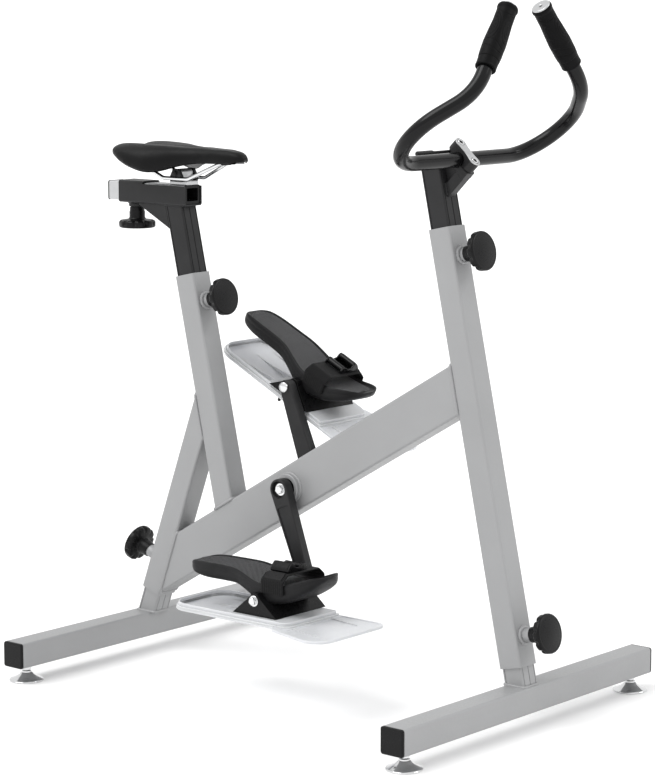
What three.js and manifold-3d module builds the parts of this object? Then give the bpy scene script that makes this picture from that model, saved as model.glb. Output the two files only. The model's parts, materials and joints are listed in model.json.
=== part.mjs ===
// A pool exercise bike: two floor bars, a leaning front column, a sloping main beam, a seat tube held by a
// rear strut, cranks with strapped foot pedals and water-resistance fins, and a bent handlebar.
// Millimetres. +X points to the front of the bike, +Y to the rider's left, +Z up.
// The origin is on the floor, under the middle of the whole bike.

import * as THREE from "three";
import { mergeVertices } from "three/addons/utils/BufferGeometryUtils.js";
import Module from "manifold-3d";

const wasm = await Module();
wasm.setup();

// Sizes shared by several pieces
const degree = Math.PI / 180;
const seatingGap = 0.3;
const slideClearance = 0.6;
const turningClearance = 0.05;
const boreClearance = 0.4;
const cutOverrun = 2;
const mergeDistance = 1e-3;

// Square steel tube of the frame
const tubeWidth = 45;
const tubeWall = 2.5;
const tubeCorner = 4;
const cornerSegments = 1;

// Drawn profile of the telescoping legs and posts
const profileWidth = tubeWidth - 2 * tubeWall - 2 * slideClearance;
const profileWall = 3;
const grooveWidth = 2;
const grooveDepth = 1;
const profileCorner = 2.5;
const sideGrooveInset = 5;

// Where the frame stands
const wheelbase = 850;
const floorBarLength = 693;
const floorBarHeight = 28;
const endCapThickness = 5;
const endCapPlug = 14;
const footInset = 33;

// Front column
const columnTilt = 12.2 * degree;
const columnFoot = 53;
const columnLength = 731;
const frontLegInsertion = 230;

// Rear strut
const strutTilt = 20.2 * degree;
const strutFoot = 67;
const rearLegInsertion = 200;

// Main beam
const beamSlope = 30.3 * degree;
const beamHeight = 80;
const beamMidHeight = 380;

// Seat tube
const seatTilt = 12.67 * degree;
const seatTubeTopSetback = 312;
const seatTubeTopHeight = 700;

// Crank axle in its shell through the beam
const crankSetback = 62;
const crankLift = 3;
const shellRadius = 25;
const shellLength = 64;
const shellBoreRadius = 17;
const bushingLength = 60;
const axleRadius = 8.5;
const axleLength = 90;
const axleSquare = 12.6;
const axleSquareLength = 10;
const crankLength = 175;
const crankAngle = 21 * degree;
const crankInnerFace = 36;
const crankThickness = 18;
const crankHubRadius = 19;
const crankEndRadius = 12.5;
const crankRecessRadius = 14.4;
const crankRecessDepth = 8;
const crankPanelDepth = 1.5;
const crankPanelInset = 4;
const crankPanelStart = 36;
const crankPanelEnd = 148;
const crankArcSteps = 9;
const crankBoltHeadRadius = 8.3;
const crankBoltHeadHeight = 5;
const crankBoltWasherRadius = 11;
const crankBoltWasherThickness = 1.5;
const crankBoltRadius = 4;
const crankBoltLength = 18;

// Clamping knobs and the bosses that they screw into
const knobRadius = 33;
const knobLobes = 10;
const knobLobeDepth = 2.2;
const knobRimThickness = 10;
const knobRimBevel = 2.5;
const knobFaceRadius = 28;
const knobFaceRise = 2;
const knobHubRadius = 13.5;
const knobHubLength = 13;
const knobStudRadius = 5;
const studTipClearance = 1;
const bossRadius = 11.5;
const bossCollarRadius = 18;
const bossCollarHeight = 5;
const barKnobAlong = 735;
const barKnobBoss = 19;
const frontLegKnobAlong = 103;
const frontLegKnobBoss = 26;
const seatKnobBelowTop = 51;
const seatKnobBoss = 21;
const rearLegKnobAlong = 125;
const rearLegKnobBoss = 29;

// Levelling feet
const footRadius = 30;
const footRimHeight = 3;
const footConeHeight = 14;
const footNeckRadius = 9;
const footNutHeight = 8;
const footNutRadius = 8;
const footStudRadius = 5;
const footStudLength = 24;

// Handlebar post, stem and clamp
const barPostTop = 903;
const barPostInsertion = 210;
const clampAlong = 887.6;
const clampForward = 51.7;
const clampPitch = 32.8 * degree;
const barRadius = 12.5;
const barWall = 2;
const clampHalfLength = 30;
const clampCapDepth = 20;
const clampBackDepth = 15;
const clampBackRise = 11;
const clampWidth = 22;
const clampBoltSpan = 40.6;
const clampBoltRadius = 3.5;
const clampBoltHeadRadius = 6.2;
const clampBoltHeadHeight = 5;
const clampBoltSocketRadius = 3;
const clampBoltSocketDepth = 2.5;
const stemArmThickness = 19;
const stemArmWidth = 19;
const stemPlateThickness = 6;
const leverNutRadius = 7;
const leverNutHeight = 11;
const leverRodRadius = 2.6;
const leverRodLength = 50;
const leverSleeveRadius = 4.2;
const leverSleeveLength = 42;

// Bent handlebar, measured from the clamp
const barCornerSpan = 289;
const barCornerBend = 80;
const hornForward = 139;
const hornRise = 117;
const hornSpan = 144.4;
const hornBend = 89;
const gripEndForward = 125;
const gripEndRise = 246.5;
const gripEndSpan = 44.5;
const barSteps = 42;
const barSides = 12;
const gripLength = 118;
const gripFlangeRadius = 17.2;
const gripWaistRadius = 16.2;
const gripBellyRadius = 19.2;
const gripFlangeThickness = 4;
const gripSides = 20;
const gripWaistShare = 0.25;
const gripSwellShare = 0.4;
const gripBellyStartShare = 0.6;
const gripBellyEndShare = 0.8;
const plugFlangeRadius = 15.6;
const plugFlangeThickness = 3;
const plugShankLength = 16;
const plugVentRadius = 2;

// Seat post, its level sleeve and the saddle slider
const seatPostInsertion = 190;
const sleeveLength = 163;
const sleeveHeight = 40;
const seatPostShown = 121.5;
const sleeveFrontLead = 3.5;
const sleeveOpenLength = 103;
const sleeveOpenDepth = 5;
const seatGussetReach = 66;
const seatGussetDrop = 42;
const sliderOverhang = 27;
const sliderCapThickness = 3;
const sliderCapPlug = 12;
const sliderWall = 3.5;
const sliderKnobSetback = 24.5;
const sliderBossRadius = 15;
const sliderBossLength = 18;

// Saddle carriage, clamp and rails
const carriageLength = 42;
const carriageWidth = 30;
const carriageThickness = 7;
const carriageFrontSetback = 1;
const carriageStubRadius = 8;
const saddlePivotRise = 13.5;
const jawThickness = 12;
const jawHalfLength = 14;
const jawDrop = 15;
const jawRise = 8;
const jawBoltRadius = 4;
const jawNutRadius = 7;
const jawNutHeight = 5;
const railRadius = 3.5;
const railSpacing = 44;
const railDrop = 9;
const railFlatReach = 30;
const railRearEnd = 66;
const railRearSpacing = 60;
const railRearHeight = 27;
const railRearRise = 16;
const railBend = 14;
const railNoseReach = 98;
const railNoseRise = 30;
const railNoseSpacing = 20;
const railNoseBend = 8;
const railSteps = 48;
const railSides = 8;
const railSocketRadius = 7;
const railSocketDepth = 10;

// Saddle, measured from the clamp's cross bolt
const saddleLength = 278;
const saddleWidth = 150;
const saddleRearReach = 130;
const saddleCrownHeight = 56.5;
const saddleDepth = 56;
const saddleChannelDepth = 9;
const saddlePadding = 15;
const saddleEdge = 6;
const saddleShellThickness = 4;
const saddleShellGap = 0.8;
const coverSteps = 14;
const coverDrawIn = 24 * degree;
const coverSquareShare = 0.75;
const coverCrownShare = 0.8;
const channelWidthShare = 0.42;

// Foot pedal, measured from its spindle
const pedalSpindleRadius = 6;
const pedalSpindleHeadRadius = 9.5;
const pedalSpindleHeadHeight = 5;
const pedalNutRadius = 7.5;
const pedalNutHeight = 5;
const pedalWasherRadius = 9.5;
const pedalWasherThickness = 1.6;
const bracketInnerFace = 57;
const bracketLength = 130;
const bracketBaseHalf = 49;
const bracketDrop = 25.5;
const bracketApexRadius = 13;
const bracketEndThickness = 5;
const bracketSkin = 3;
const bracketPinRadius = 3;
const bracketPinLength = 21;
const bracketPinSetback = 22;
const bracketPinInset = 10;
const footbedLength = 300;
const footbedWidth = 104;
const footbedHeight = 50;
const footbedHeelSetback = 186;
const footbedRim = 7;
const footbedLining = 2.2;
const footbedSides = 16;
const footbedSquareShare = 0.4;
const strapWidth = 50;
const strapThickness = 2.6;
const strapPlaceShare = 0.72;
const strapBottom = 14;
const strapTop = 48;
const strapShoulder = 20;
const strapMiddle = strapPlaceShare * footbedLength - footbedHeelSetback;
const buckleLength = 44;
const buckleWidth = 40;
const buckleFlapThickness = 5;
const buckleFlapTaper = 10;
const buckleBarrelRadius = 3.5;

// Resistance fin under each pedal
const finThickness = 13;
const finRearReach = 190;
const finSlabFront = 84;
const finFlangeFront = 190;
const finInnerFace = 60;
const finSlabOuterFace = 200;
const finFlangeOuterFace = 250;
const finFlangeThickness = 5;
const finFlangeStart = 62;
const finRearCorner = 38;
const finSlabCorner = 16;
const finFlangeCorner = 24;
const finPocketDepth = 9;
const finPocketRim = 9;
const finRibThickness = 4;
const leftPedalTilt = 26.6 * degree;
const rightPedalTilt = 0;

// Colours as they show in daylight
const frameGrey = { color: 0xb4b5b6, roughness: 0.45, metalness: 0.35 };
const blackPaint = { color: 0x2b2b2c, roughness: 0.5, metalness: 0.2 };
const glossBlack = { color: 0x141415, roughness: 0.25, metalness: 0.3 };
const blackPlastic = { color: 0x1c1c1d, roughness: 0.6, metalness: 0 };
const blackRubber = { color: 0x222223, roughness: 0.8, metalness: 0 };
const blackWebbing = { color: 0x18181a, roughness: 0.95, metalness: 0 };
const greyMesh = { color: 0x5b5b5c, roughness: 0.9, metalness: 0 };
const whitePlastic = { color: 0xe9eaec, roughness: 0.4, metalness: 0 };
const polishedSteel = { color: 0xd4d5d6, roughness: 0.2, metalness: 1 };
const brightAluminium = { color: 0xb9babb, roughness: 0.4, metalness: 0.8 };
const saddleBlack = { color: 0x1b1b1c, roughness: 0.65, metalness: 0 };

// A closed geometry as a solid that can be joined and cut
function toSolid(geometry) {
  const bare = geometry.clone();
  for (const name of Object.keys(bare.attributes)) {
    if (name !== "position") bare.deleteAttribute(name);
  }
  const merged = mergeVertices(bare, mergeDistance);
  const places = merged.attributes.position;
  const index = merged.index.array;
  const corners = [];
  let volume = 0;
  const [a, b, c] = [0, 1, 2].map(() => new THREE.Vector3());
  for (let i = 0; i < index.length; i += 3) {
    const [p, q, r] = [index[i], index[i + 1], index[i + 2]];
    if (p === q || q === r || r === p) continue;
    corners.push(p, q, r);
    a.fromBufferAttribute(places, p);
    b.fromBufferAttribute(places, q);
    c.fromBufferAttribute(places, r);
    volume += a.dot(b.cross(c));
  }
  if (volume < 0) {
    for (let i = 0; i < corners.length; i += 3) {
      [corners[i], corners[i + 1]] = [corners[i + 1], corners[i]];
    }
  }
  const mesh = new wasm.Mesh({
    numProp: 3,
    vertProperties: new Float32Array(places.array),
    triVerts: new Uint32Array(corners),
  });
  return new wasm.Manifold(mesh);
}

// A solid back as a geometry
function toGeometry(solid) {
  const mesh = solid.getMesh();
  const geometry = new THREE.BufferGeometry();
  geometry.setAttribute("position", new THREE.BufferAttribute(new Float32Array(mesh.vertProperties), 3));
  geometry.setIndex(new THREE.BufferAttribute(new Uint32Array(mesh.triVerts), 1));
  return geometry;
}

function join(...geometries) {
  return toGeometry(geometries.map(toSolid).reduce((sum, next) => sum.add(next)));
}

function cut(base, ...tools) {
  return toGeometry(tools.map(toSolid).reduce((rest, tool) => rest.subtract(tool), toSolid(base)));
}

function keep(base, tool) {
  return toGeometry(toSolid(base).intersect(toSolid(tool)));
}

// The same shape seen in a mirror that stands in the XZ plane; side is 1 to leave it and -1 to mirror it
function onSide(geometry, side) {
  return geometry.clone().scale(1, side, 1);
}

function addPiece(parent, name, geometry, look) {
  const shape = toGeometry(toSolid(geometry));
  shape.computeVertexNormals();
  const mesh = new THREE.Mesh(shape, new THREE.MeshStandardMaterial(look));
  mesh.name = name;
  parent.add(mesh);
  return mesh;
}

function addGroup(parent, x, y, z, turn = 0) {
  const group = new THREE.Group();
  group.position.set(x, y, z);
  group.rotation.y = turn;
  parent.add(group);
  return group;
}

// A geometry drawn in one group, as it lies in another
function carried(geometry, from, to) {
  from.updateWorldMatrix(true, false);
  to.updateWorldMatrix(true, false);
  const matrix = to.matrixWorld.clone().invert().multiply(from.matrixWorld);
  return geometry.clone().applyMatrix4(matrix);
}

// A box from one corner to the opposite one
function boxBetween(low, high) {
  const size = high.map((value, i) => value - low[i]);
  const box = new THREE.BoxGeometry(...size);
  return box.translate(...low.map((value, i) => value + size[i] / 2));
}

// A cylinder along Z between two heights
function rod(radius, low, high, sides = 20) {
  const cylinder = new THREE.CylinderGeometry(radius, radius, high - low, sides);
  return cylinder.rotateX(Math.PI / 2).translate(0, 0, (low + high) / 2);
}

// The same along Y, centred on the X and Z given
function crossRod(radius, low, high, x = 0, z = 0, sides = 20) {
  return rod(radius, low, high, sides).rotateX(-Math.PI / 2).translate(x, 0, z);
}

// A solid turned about Z from pairs of radius and height
function turned(profile, sides = 20) {
  const points = profile.map(([radius, height]) => new THREE.Vector2(radius, height));
  return new THREE.LatheGeometry(points, sides).rotateX(Math.PI / 2);
}

function shapeOf(points) {
  return new THREE.Shape(points.map(([x, y]) => new THREE.Vector2(x, y)));
}

// An outline drawn in X and Z, given its width along Y about the middle plane
function plate(points, width) {
  const flat = new THREE.ExtrudeGeometry(shapeOf(points), { depth: width, bevelEnabled: false });
  return flat.rotateX(Math.PI / 2).translate(0, width / 2, 0);
}

// An outline drawn in X and Y, raised along Z between two heights
function slab(shape, low, high, curveSegments = cornerSegments) {
  const flat = new THREE.ExtrudeGeometry(shape, { depth: high - low, bevelEnabled: false, curveSegments });
  return flat.translate(0, 0, low);
}

// A rectangle about the origin with rounded corners
function roundedRectangle(path, width, height, corner) {
  const x = width / 2;
  const y = height / 2;
  path.moveTo(x, corner - y);
  path.lineTo(x, y - corner);
  path.absarc(x - corner, y - corner, corner, 0, Math.PI / 2);
  path.absarc(corner - x, y - corner, corner, Math.PI / 2, Math.PI);
  path.absarc(corner - x, corner - y, corner, Math.PI, 1.5 * Math.PI);
  path.absarc(x - corner, corner - y, corner, 1.5 * Math.PI, 2 * Math.PI);
  return path;
}

// A rectangular tube along Z between two heights
function boxTube(width, depth, wall, corner, low, high) {
  const shape = roundedRectangle(new THREE.Shape(), width, depth, corner);
  const inside = Math.max(corner - wall, wall / 4);
  shape.holes.push(roundedRectangle(new THREE.Path(), width - 2 * wall, depth - 2 * wall, inside));
  return slab(shape, low, high);
}

// The grooved square profile along Z between two heights
function grooved(low, high) {
  const tube = boxTube(profileWidth, profileWidth, profileWall, profileCorner, low, high);
  const half = profileWidth / 2;
  const centres = [
    [half, 0],
    [-half, 0],
    [sideGrooveInset - half, half],
    [sideGrooveInset - half, -half],
  ];
  const grooves = centres.map(([x, y]) => {
    const groove = new THREE.CylinderGeometry(grooveDepth, grooveDepth, high - low + 2 * cutOverrun, 4);
    const stretch = grooveWidth / 2 / grooveDepth;
    const alongFace = x === half || x === -half;
    groove.rotateX(Math.PI / 2).scale(alongFace ? 1 : stretch, alongFace ? stretch : 1, 1);
    return groove.translate(x, y, (low + high) / 2);
  });
  return cut(tube, ...grooves);
}

// A shape skinned over closed rings of points, all with the same count
function skinned(rings) {
  const count = rings[0].length;
  const middles = [rings[0], rings[rings.length - 1]].map((ring) => {
    const sum = ring.reduce((total, point) => total.map((value, i) => value + point[i]), [0, 0, 0]);
    return sum.map((value) => value / count);
  });
  const points = [...rings.flat(), ...middles].flat();
  const index = [];
  for (let row = 0; row + 1 < rings.length; row += 1) {
    for (let i = 0; i < count; i += 1) {
      const next = (i + 1) % count;
      const [a, b] = [row * count + i, row * count + next];
      index.push(a, b, b + count, a, b + count, a + count);
    }
  }
  const first = rings.length * count;
  const last = (rings.length - 1) * count;
  for (let i = 0; i < count; i += 1) {
    const next = (i + 1) % count;
    index.push(first, next, i, first + 1, last + i, last + next);
  }
  const geometry = new THREE.BufferGeometry();
  geometry.setAttribute("position", new THREE.Float32BufferAttribute(points, 3));
  geometry.setIndex(index);
  return geometry;
}

// A bend of a round path between two straight runs
class Bend extends THREE.Curve {
  constructor(centre, start, end) {
    super();
    this.centre = centre;
    this.from = start.clone().sub(centre);
    this.to = end.clone().sub(centre);
    this.angle = this.from.angleTo(this.to);
  }

  getPoint(t, target = new THREE.Vector3()) {
    const scale = Math.sin(this.angle);
    const first = Math.sin((1 - t) * this.angle) / scale;
    const second = Math.sin(t * this.angle) / scale;
    return target.copy(this.centre).addScaledVector(this.from, first).addScaledVector(this.to, second);
  }
}

// A path through corners, each rounded to its own bend radius
function bentPath(corners, bends) {
  const path = new THREE.CurvePath();
  let start = corners[0];
  bends.forEach((radius, i) => {
    const corner = corners[i + 1];
    const back = corners[i].clone().sub(corner).normalize();
    const ahead = corners[i + 2].clone().sub(corner).normalize();
    const turn = Math.PI - back.angleTo(ahead);
    const setback = radius * Math.tan(turn / 2);
    const enter = corner.clone().addScaledVector(back, setback);
    const leave = corner.clone().addScaledVector(ahead, setback);
    const inward = back.clone().add(ahead).normalize();
    const centre = corner.clone().addScaledVector(inward, radius / Math.cos(turn / 2));
    path.add(new THREE.LineCurve3(start, enter));
    path.add(new Bend(centre, enter, leave));
    start = leave;
  });
  path.add(new THREE.LineCurve3(start, corners[corners.length - 1]));
  return path;
}

// A round bar along a path, hollow when a bore is given
function alongPath(path, radius, sides, steps, bore = 0) {
  const shape = new THREE.Shape();
  shape.absarc(0, 0, radius, 0, 2 * Math.PI);
  if (bore > 0) {
    const hole = new THREE.Path();
    hole.absarc(0, 0, bore, 0, 2 * Math.PI);
    shape.holes.push(hole);
  }
  return new THREE.ExtrudeGeometry(shape, { extrudePath: path, steps, curveSegments: sides / 2 });
}

const bike = new THREE.Group();
const barCentreHeight = floorBarHeight + tubeWidth / 2;
const halfTube = tubeWidth / 2;
const halfProfile = profileWidth / 2;

// Frames of reference that the pieces are drawn in
const frontBarFrame = addGroup(bike, wheelbase / 2, 0, barCentreHeight);
const rearBarFrame = addGroup(bike, -wheelbase / 2, 0, barCentreHeight);
const columnFrame = addGroup(bike, wheelbase / 2, 0, barCentreHeight, -columnTilt);
const strutFrame = addGroup(bike, -wheelbase / 2, 0, barCentreHeight, strutTilt);
const beamFrame = addGroup(bike, 0, 0, beamMidHeight, -beamSlope);
const seatFrame = addGroup(bike, -seatTubeTopSetback, 0, seatTubeTopHeight, -seatTilt);

// The half of space in front of, or behind, a plane square to a frame's X axis
function halfSpace(at, direction) {
  const far = at + direction * 4 * wheelbase;
  const low = Math.min(at, far);
  const high = Math.max(at, far);
  return boxBetween([low, -wheelbase, -2 * wheelbase], [high, wheelbase, 2 * wheelbase]);
}

// The half of space above, or below, a plane square to a frame's Z axis
function levelSpace(at, direction) {
  return halfSpace(at, direction).rotateY(-Math.PI / 2);
}

// A welded boss on a tube's face, with its bore, drawn along X from the face
function boss(length, radius = bossRadius) {
  const collarTaper = bossCollarHeight / 2;
  const profile = [
    [0, -tubeWall / 2],
    [bossCollarRadius, -tubeWall / 2],
    [bossCollarRadius, collarTaper / 2],
    [radius, bossCollarHeight],
    [radius, length],
    [0, length],
  ];
  return turned(profile).rotateY(Math.PI / 2);
}

function studBore(length) {
  const bore = rod(knobStudRadius + boreClearance, -tubeWall - cutOverrun, length + cutOverrun, 16);
  return bore.rotateY(Math.PI / 2);
}

// A lobed hand knob with its stud, drawn along X from the end of its boss
function knob(studReach) {
  const turns = knobLobes * 3;
  const outline = Array.from({ length: turns }, (_, i) => {
    const angle = (i / turns) * 2 * Math.PI;
    const lobe = Math.cos(angle * knobLobes) / 2 - 1 / 2;
    const radius = knobRadius - knobRimBevel + knobLobeDepth * lobe;
    return [radius * Math.cos(angle), radius * Math.sin(angle)];
  });
  const rim = new THREE.ExtrudeGeometry(shapeOf(outline), {
    depth: knobRimThickness,
    bevelThickness: knobRimBevel,
    bevelSize: knobRimBevel,
    bevelSegments: 1,
  });
  rim.translate(0, 0, knobHubLength + knobRimBevel);
  const back = seatingGap;
  const front = knobHubLength + knobRimThickness + 2 * knobRimBevel;
  const profile = [
    [0, back - studReach],
    [knobStudRadius, back - studReach],
    [knobStudRadius, back],
    [knobHubRadius, back],
    [knobHubRadius, knobHubLength + knobRimBevel],
    [knobFaceRadius, knobHubLength + knobRimThickness],
    [knobFaceRadius, front],
    [knobFaceRadius - knobFaceRise, front + knobFaceRise],
    [0, front + knobFaceRise],
  ];
  return join(rim, turned(profile)).rotateY(Math.PI / 2);
}

// Floor bars with the lower legs that stand on them
function addFloorBar(group, name, legFrame, legTop) {
  const tubeHalf = floorBarLength / 2 - endCapThickness;
  const tube = boxTube(tubeWidth, tubeWidth, tubeWall, tubeCorner, -tubeHalf, tubeHalf);
  tube.rotateZ(Math.PI / 2).rotateX(Math.PI / 2);
  const leg = carried(grooved(0, legTop), legFrame, group);
  const legAbove = cut(leg, levelSpace(halfTube - tubeWall / 2, -1));
  const holes = [1, -1].map((side) => {
    const low = -halfTube - cutOverrun;
    const hole = rod(footStudRadius + boreClearance, low, low + tubeWall + 2 * cutOverrun, 16);
    return hole.translate(0, side * (floorBarLength / 2 - footInset), 0);
  });
  addPiece(group, name, cut(join(tube, legAbove), ...holes), frameGrey);
}

// The black plug that closes one end of a floor bar
function addEndCap(group, name, side) {
  const flangeOutline = roundedRectangle(new THREE.Shape(), tubeWidth, tubeWidth, tubeCorner);
  const flange = slab(flangeOutline, 0, endCapThickness);
  const plugWidth = tubeWidth - 2 * tubeWall - 2 * seatingGap;
  const plugOutline = roundedRectangle(new THREE.Shape(), plugWidth, plugWidth, tubeCorner / 2);
  const plug = slab(plugOutline, -endCapPlug, endCapThickness / 2);
  const bottom = floorBarLength / 2 - endCapThickness + seatingGap;
  const cap = join(flange, plug).rotateX(-Math.PI / 2).translate(0, bottom, 0);
  addPiece(group, name, onSide(cap, side), blackPlastic);
}

// A levelling foot with its locknut and the stud that screws up into the bar
function addFoot(group, name, side) {
  const bottom = -barCentreHeight;
  const top = bottom + floorBarHeight;
  const profile = [
    [0, bottom],
    [footRadius - footRimHeight / 2, bottom],
    [footRadius, bottom + footRimHeight / 2],
    [footRadius - footRimHeight / 2, bottom + footRimHeight],
    [(footRadius + footNeckRadius) / 2, bottom + (footRimHeight + footConeHeight) / 2 - footRimHeight / 2],
    [footNeckRadius, bottom + footConeHeight],
    [footStudRadius, bottom + footConeHeight],
    [footStudRadius, top - seatingGap + footStudLength],
    [0, top - seatingGap + footStudLength],
  ];
  const nut = rod(footNutRadius, top - seatingGap - footNutHeight, top - seatingGap, 6);
  const foot = join(turned(profile), nut).translate(0, side * (floorBarLength / 2 - footInset), 0);
  addPiece(group, name, foot, polishedSteel);
}

addFloorBar(frontBarFrame, "front_floor_bar", columnFrame, columnFoot + frontLegInsertion);
addFloorBar(rearBarFrame, "rear_floor_bar", strutFrame, strutFoot + rearLegInsertion);
for (const [group, end] of [[frontBarFrame, "front"], [rearBarFrame, "rear"]]) {
  for (const [side, hand] of [[1, "left"], [-1, "right"]]) {
    addEndCap(group, `${end}_end_cap_${hand}`, side);
    addFoot(group, `${end}_foot_${hand}`, side);
  }
}

// Front column with its two bosses
const columnTop = columnFoot + columnLength;
const column = boxTube(tubeWidth, tubeWidth, tubeWall, tubeCorner, columnFoot, columnTop);
const columnBosses = [
  [barKnobAlong, barKnobBoss],
  [frontLegKnobAlong, frontLegKnobBoss],
];
const bossedColumn = join(
  column,
  ...columnBosses.map(([along, length]) => boss(length).translate(halfTube, 0, along)),
);
const columnBores = columnBosses.map(([along, length]) => studBore(length).translate(halfTube, 0, along));
addPiece(columnFrame, "front_column", cut(bossedColumn, ...columnBores), frameGrey);

// Seat tube, cut square to sit on the beam
const seatTube = boxTube(tubeWidth, tubeWidth, tubeWall, tubeCorner, -wheelbase, 0);
const beamTop = carried(levelSpace(beamHeight / 2 + seatingGap, -1), beamFrame, seatFrame);
const seatBossPlace = [halfTube, 0, -seatKnobBelowTop];
const bossedSeatTube = join(cut(seatTube, beamTop), boss(seatKnobBoss).translate(...seatBossPlace));
const boredSeatTube = cut(bossedSeatTube, studBore(seatKnobBoss).translate(...seatBossPlace));
addPiece(seatFrame, "seat_tube", boredSeatTube, frameGrey);

// Rear strut, cut to lie on the back of the seat tube
const strut = boxTube(tubeWidth, tubeWidth, tubeWall, tubeCorner, strutFoot, strutFoot + wheelbase);
const seatTubeBack = carried(halfSpace(-halfTube - seatingGap, 1), seatFrame, strutFrame);
const strutBoss = boss(rearLegKnobBoss).rotateZ(Math.PI).translate(-halfTube, 0, rearLegKnobAlong);
const strutBore = studBore(rearLegKnobBoss).rotateZ(Math.PI).translate(-halfTube, 0, rearLegKnobAlong);
addPiece(strutFrame, "rear_strut", cut(join(cut(strut, seatTubeBack), strutBoss), strutBore), frameGrey);

// Main beam between the strut and the column, with the opening for the crank shell
const crankAlong = -crankSetback / Math.cos(beamSlope);
const beamTube = boxTube(beamHeight, tubeWidth, tubeWall, tubeCorner, -wheelbase, wheelbase);
beamTube.rotateY(Math.PI / 2);
const columnBack = carried(halfSpace(-halfTube - seatingGap, 1), columnFrame, beamFrame);
const strutFront = carried(halfSpace(halfTube + seatingGap, -1), strutFrame, beamFrame);
const shellOpening = crossRod(shellRadius + seatingGap, -tubeWidth, tubeWidth, crankAlong, crankLift, 32);
addPiece(beamFrame, "main_beam", cut(beamTube, columnBack, strutFront, shellOpening), frameGrey);

// Crank shell and the bushing that carries the axle
const crankFrame = addGroup(beamFrame, crankAlong, 0, crankLift, beamSlope - crankAngle);
const shell = crossRod(shellRadius, -shellLength / 2, shellLength / 2, 0, 0, 32);
const shellBore = crossRod(shellBoreRadius, -shellLength, shellLength);
addPiece(crankFrame, "crank_shell", cut(shell, shellBore), frameGrey);
const bushing = crossRod(shellBoreRadius - seatingGap, -bushingLength / 2, bushingLength / 2);
const bushingBore = crossRod(axleRadius + 2 * turningClearance, -shellLength, shellLength, 0, 0, 32);
addPiece(crankFrame, "axle_bushing", cut(bushing, bushingBore), blackPlastic);

// Axle with square ends that the cranks fit on
const boltBoreEnd = axleLength / 2 - crankBoltLength;
const boltBore = crossRod(crankBoltRadius + boreClearance, boltBoreEnd, axleLength, 0, 0, 16);
const axleRound = crossRod(axleRadius, -axleLength / 2, axleLength / 2, 0, 0, 32);
const axleFlats = join(
  boxBetween(
    [-axleSquare / 2, -axleLength, -axleSquare / 2],
    [axleSquare / 2, axleLength, axleSquare / 2],
  ),
  boxBetween(
    [-2 * axleRadius, axleSquareLength - axleLength / 2, -2 * axleRadius],
    [2 * axleRadius, axleLength / 2 - axleSquareLength, 2 * axleRadius],
  ),
);
const axle = cut(keep(axleRound, axleFlats), boltBore, onSide(boltBore, -1));
addPiece(crankFrame, "crank_axle", axle, polishedSteel);

// The outline of a tapered arm between two round ends, from the hub at the origin along Z
function armOutline(hubRadius, endRadius, start, end) {
  const lean = Math.asin((hubRadius - endRadius) / (end - start));
  const arc = (radius, at, from, to) =>
    Array.from({ length: crankArcSteps }, (_, i) => {
      const angle = from + ((to - from) * i) / (crankArcSteps - 1);
      return [radius * Math.cos(angle), at + radius * Math.sin(angle)];
    });
  return [
    ...arc(endRadius, end, lean, Math.PI - lean),
    ...arc(hubRadius, start, Math.PI - lean, 2 * Math.PI + lean),
  ];
}

// A crank on the rider's left, its arm along Z, with its sunk bolt seat and shallow panel
function crankArm() {
  const outer = crankInnerFace + crankThickness;
  const middle = crankInnerFace + crankThickness / 2;
  const body = plate(armOutline(crankHubRadius, crankEndRadius, 0, crankLength), crankThickness);
  body.translate(0, middle, 0);
  const slope = (crankHubRadius - crankEndRadius) / crankLength;
  const panelOutline = armOutline(
    crankHubRadius - slope * crankPanelStart - crankPanelInset,
    crankHubRadius - slope * crankPanelEnd - crankPanelInset,
    crankPanelStart,
    crankPanelEnd,
  );
  const panel = plate(panelOutline, 2 * crankPanelDepth).translate(0, outer, 0);
  const recess = crossRod(crankRecessRadius, outer - crankRecessDepth, outer + cutOverrun);
  const squareHalf = axleSquare / 2 + seatingGap;
  const square = boxBetween(
    [-squareHalf, crankInnerFace - cutOverrun, -squareHalf],
    [squareHalf, outer, squareHalf],
  );
  const spindleHole = crossRod(pedalSpindleRadius + seatingGap, 0, 2 * outer, 0, crankLength, 20);
  return cut(body, panel, recess, square, spindleHole);
}

// The bolt that draws a crank on to the axle, with its washer
function crankBolt() {
  const seat = crankInnerFace + crankThickness - crankRecessDepth + seatingGap;
  const washer = crossRod(crankBoltWasherRadius, seat, seat + crankBoltWasherThickness);
  const headBase = seat + crankBoltWasherThickness;
  const head = crossRod(crankBoltHeadRadius, seat, headBase + crankBoltHeadHeight, 0, 0, 6);
  const shank = crossRod(crankBoltRadius, axleLength / 2 - crankBoltLength + cutOverrun, headBase, 0, 0, 12);
  return join(washer, head, shank);
}

// A squarish ring of points across the footbed, at one place along it
function footbedRing(x, halfWidth, low, high) {
  const bulge = (value) => Math.sign(value) * Math.abs(value) ** footbedSquareShare;
  return Array.from({ length: footbedSides }, (_, i) => {
    const angle = (i / footbedSides) * 2 * Math.PI;
    const y = halfWidth * bulge(Math.cos(angle));
    const z = (low + high) / 2 + ((high - low) / 2) * bulge(Math.sin(angle));
    return [x, y, z];
  });
}

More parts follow.
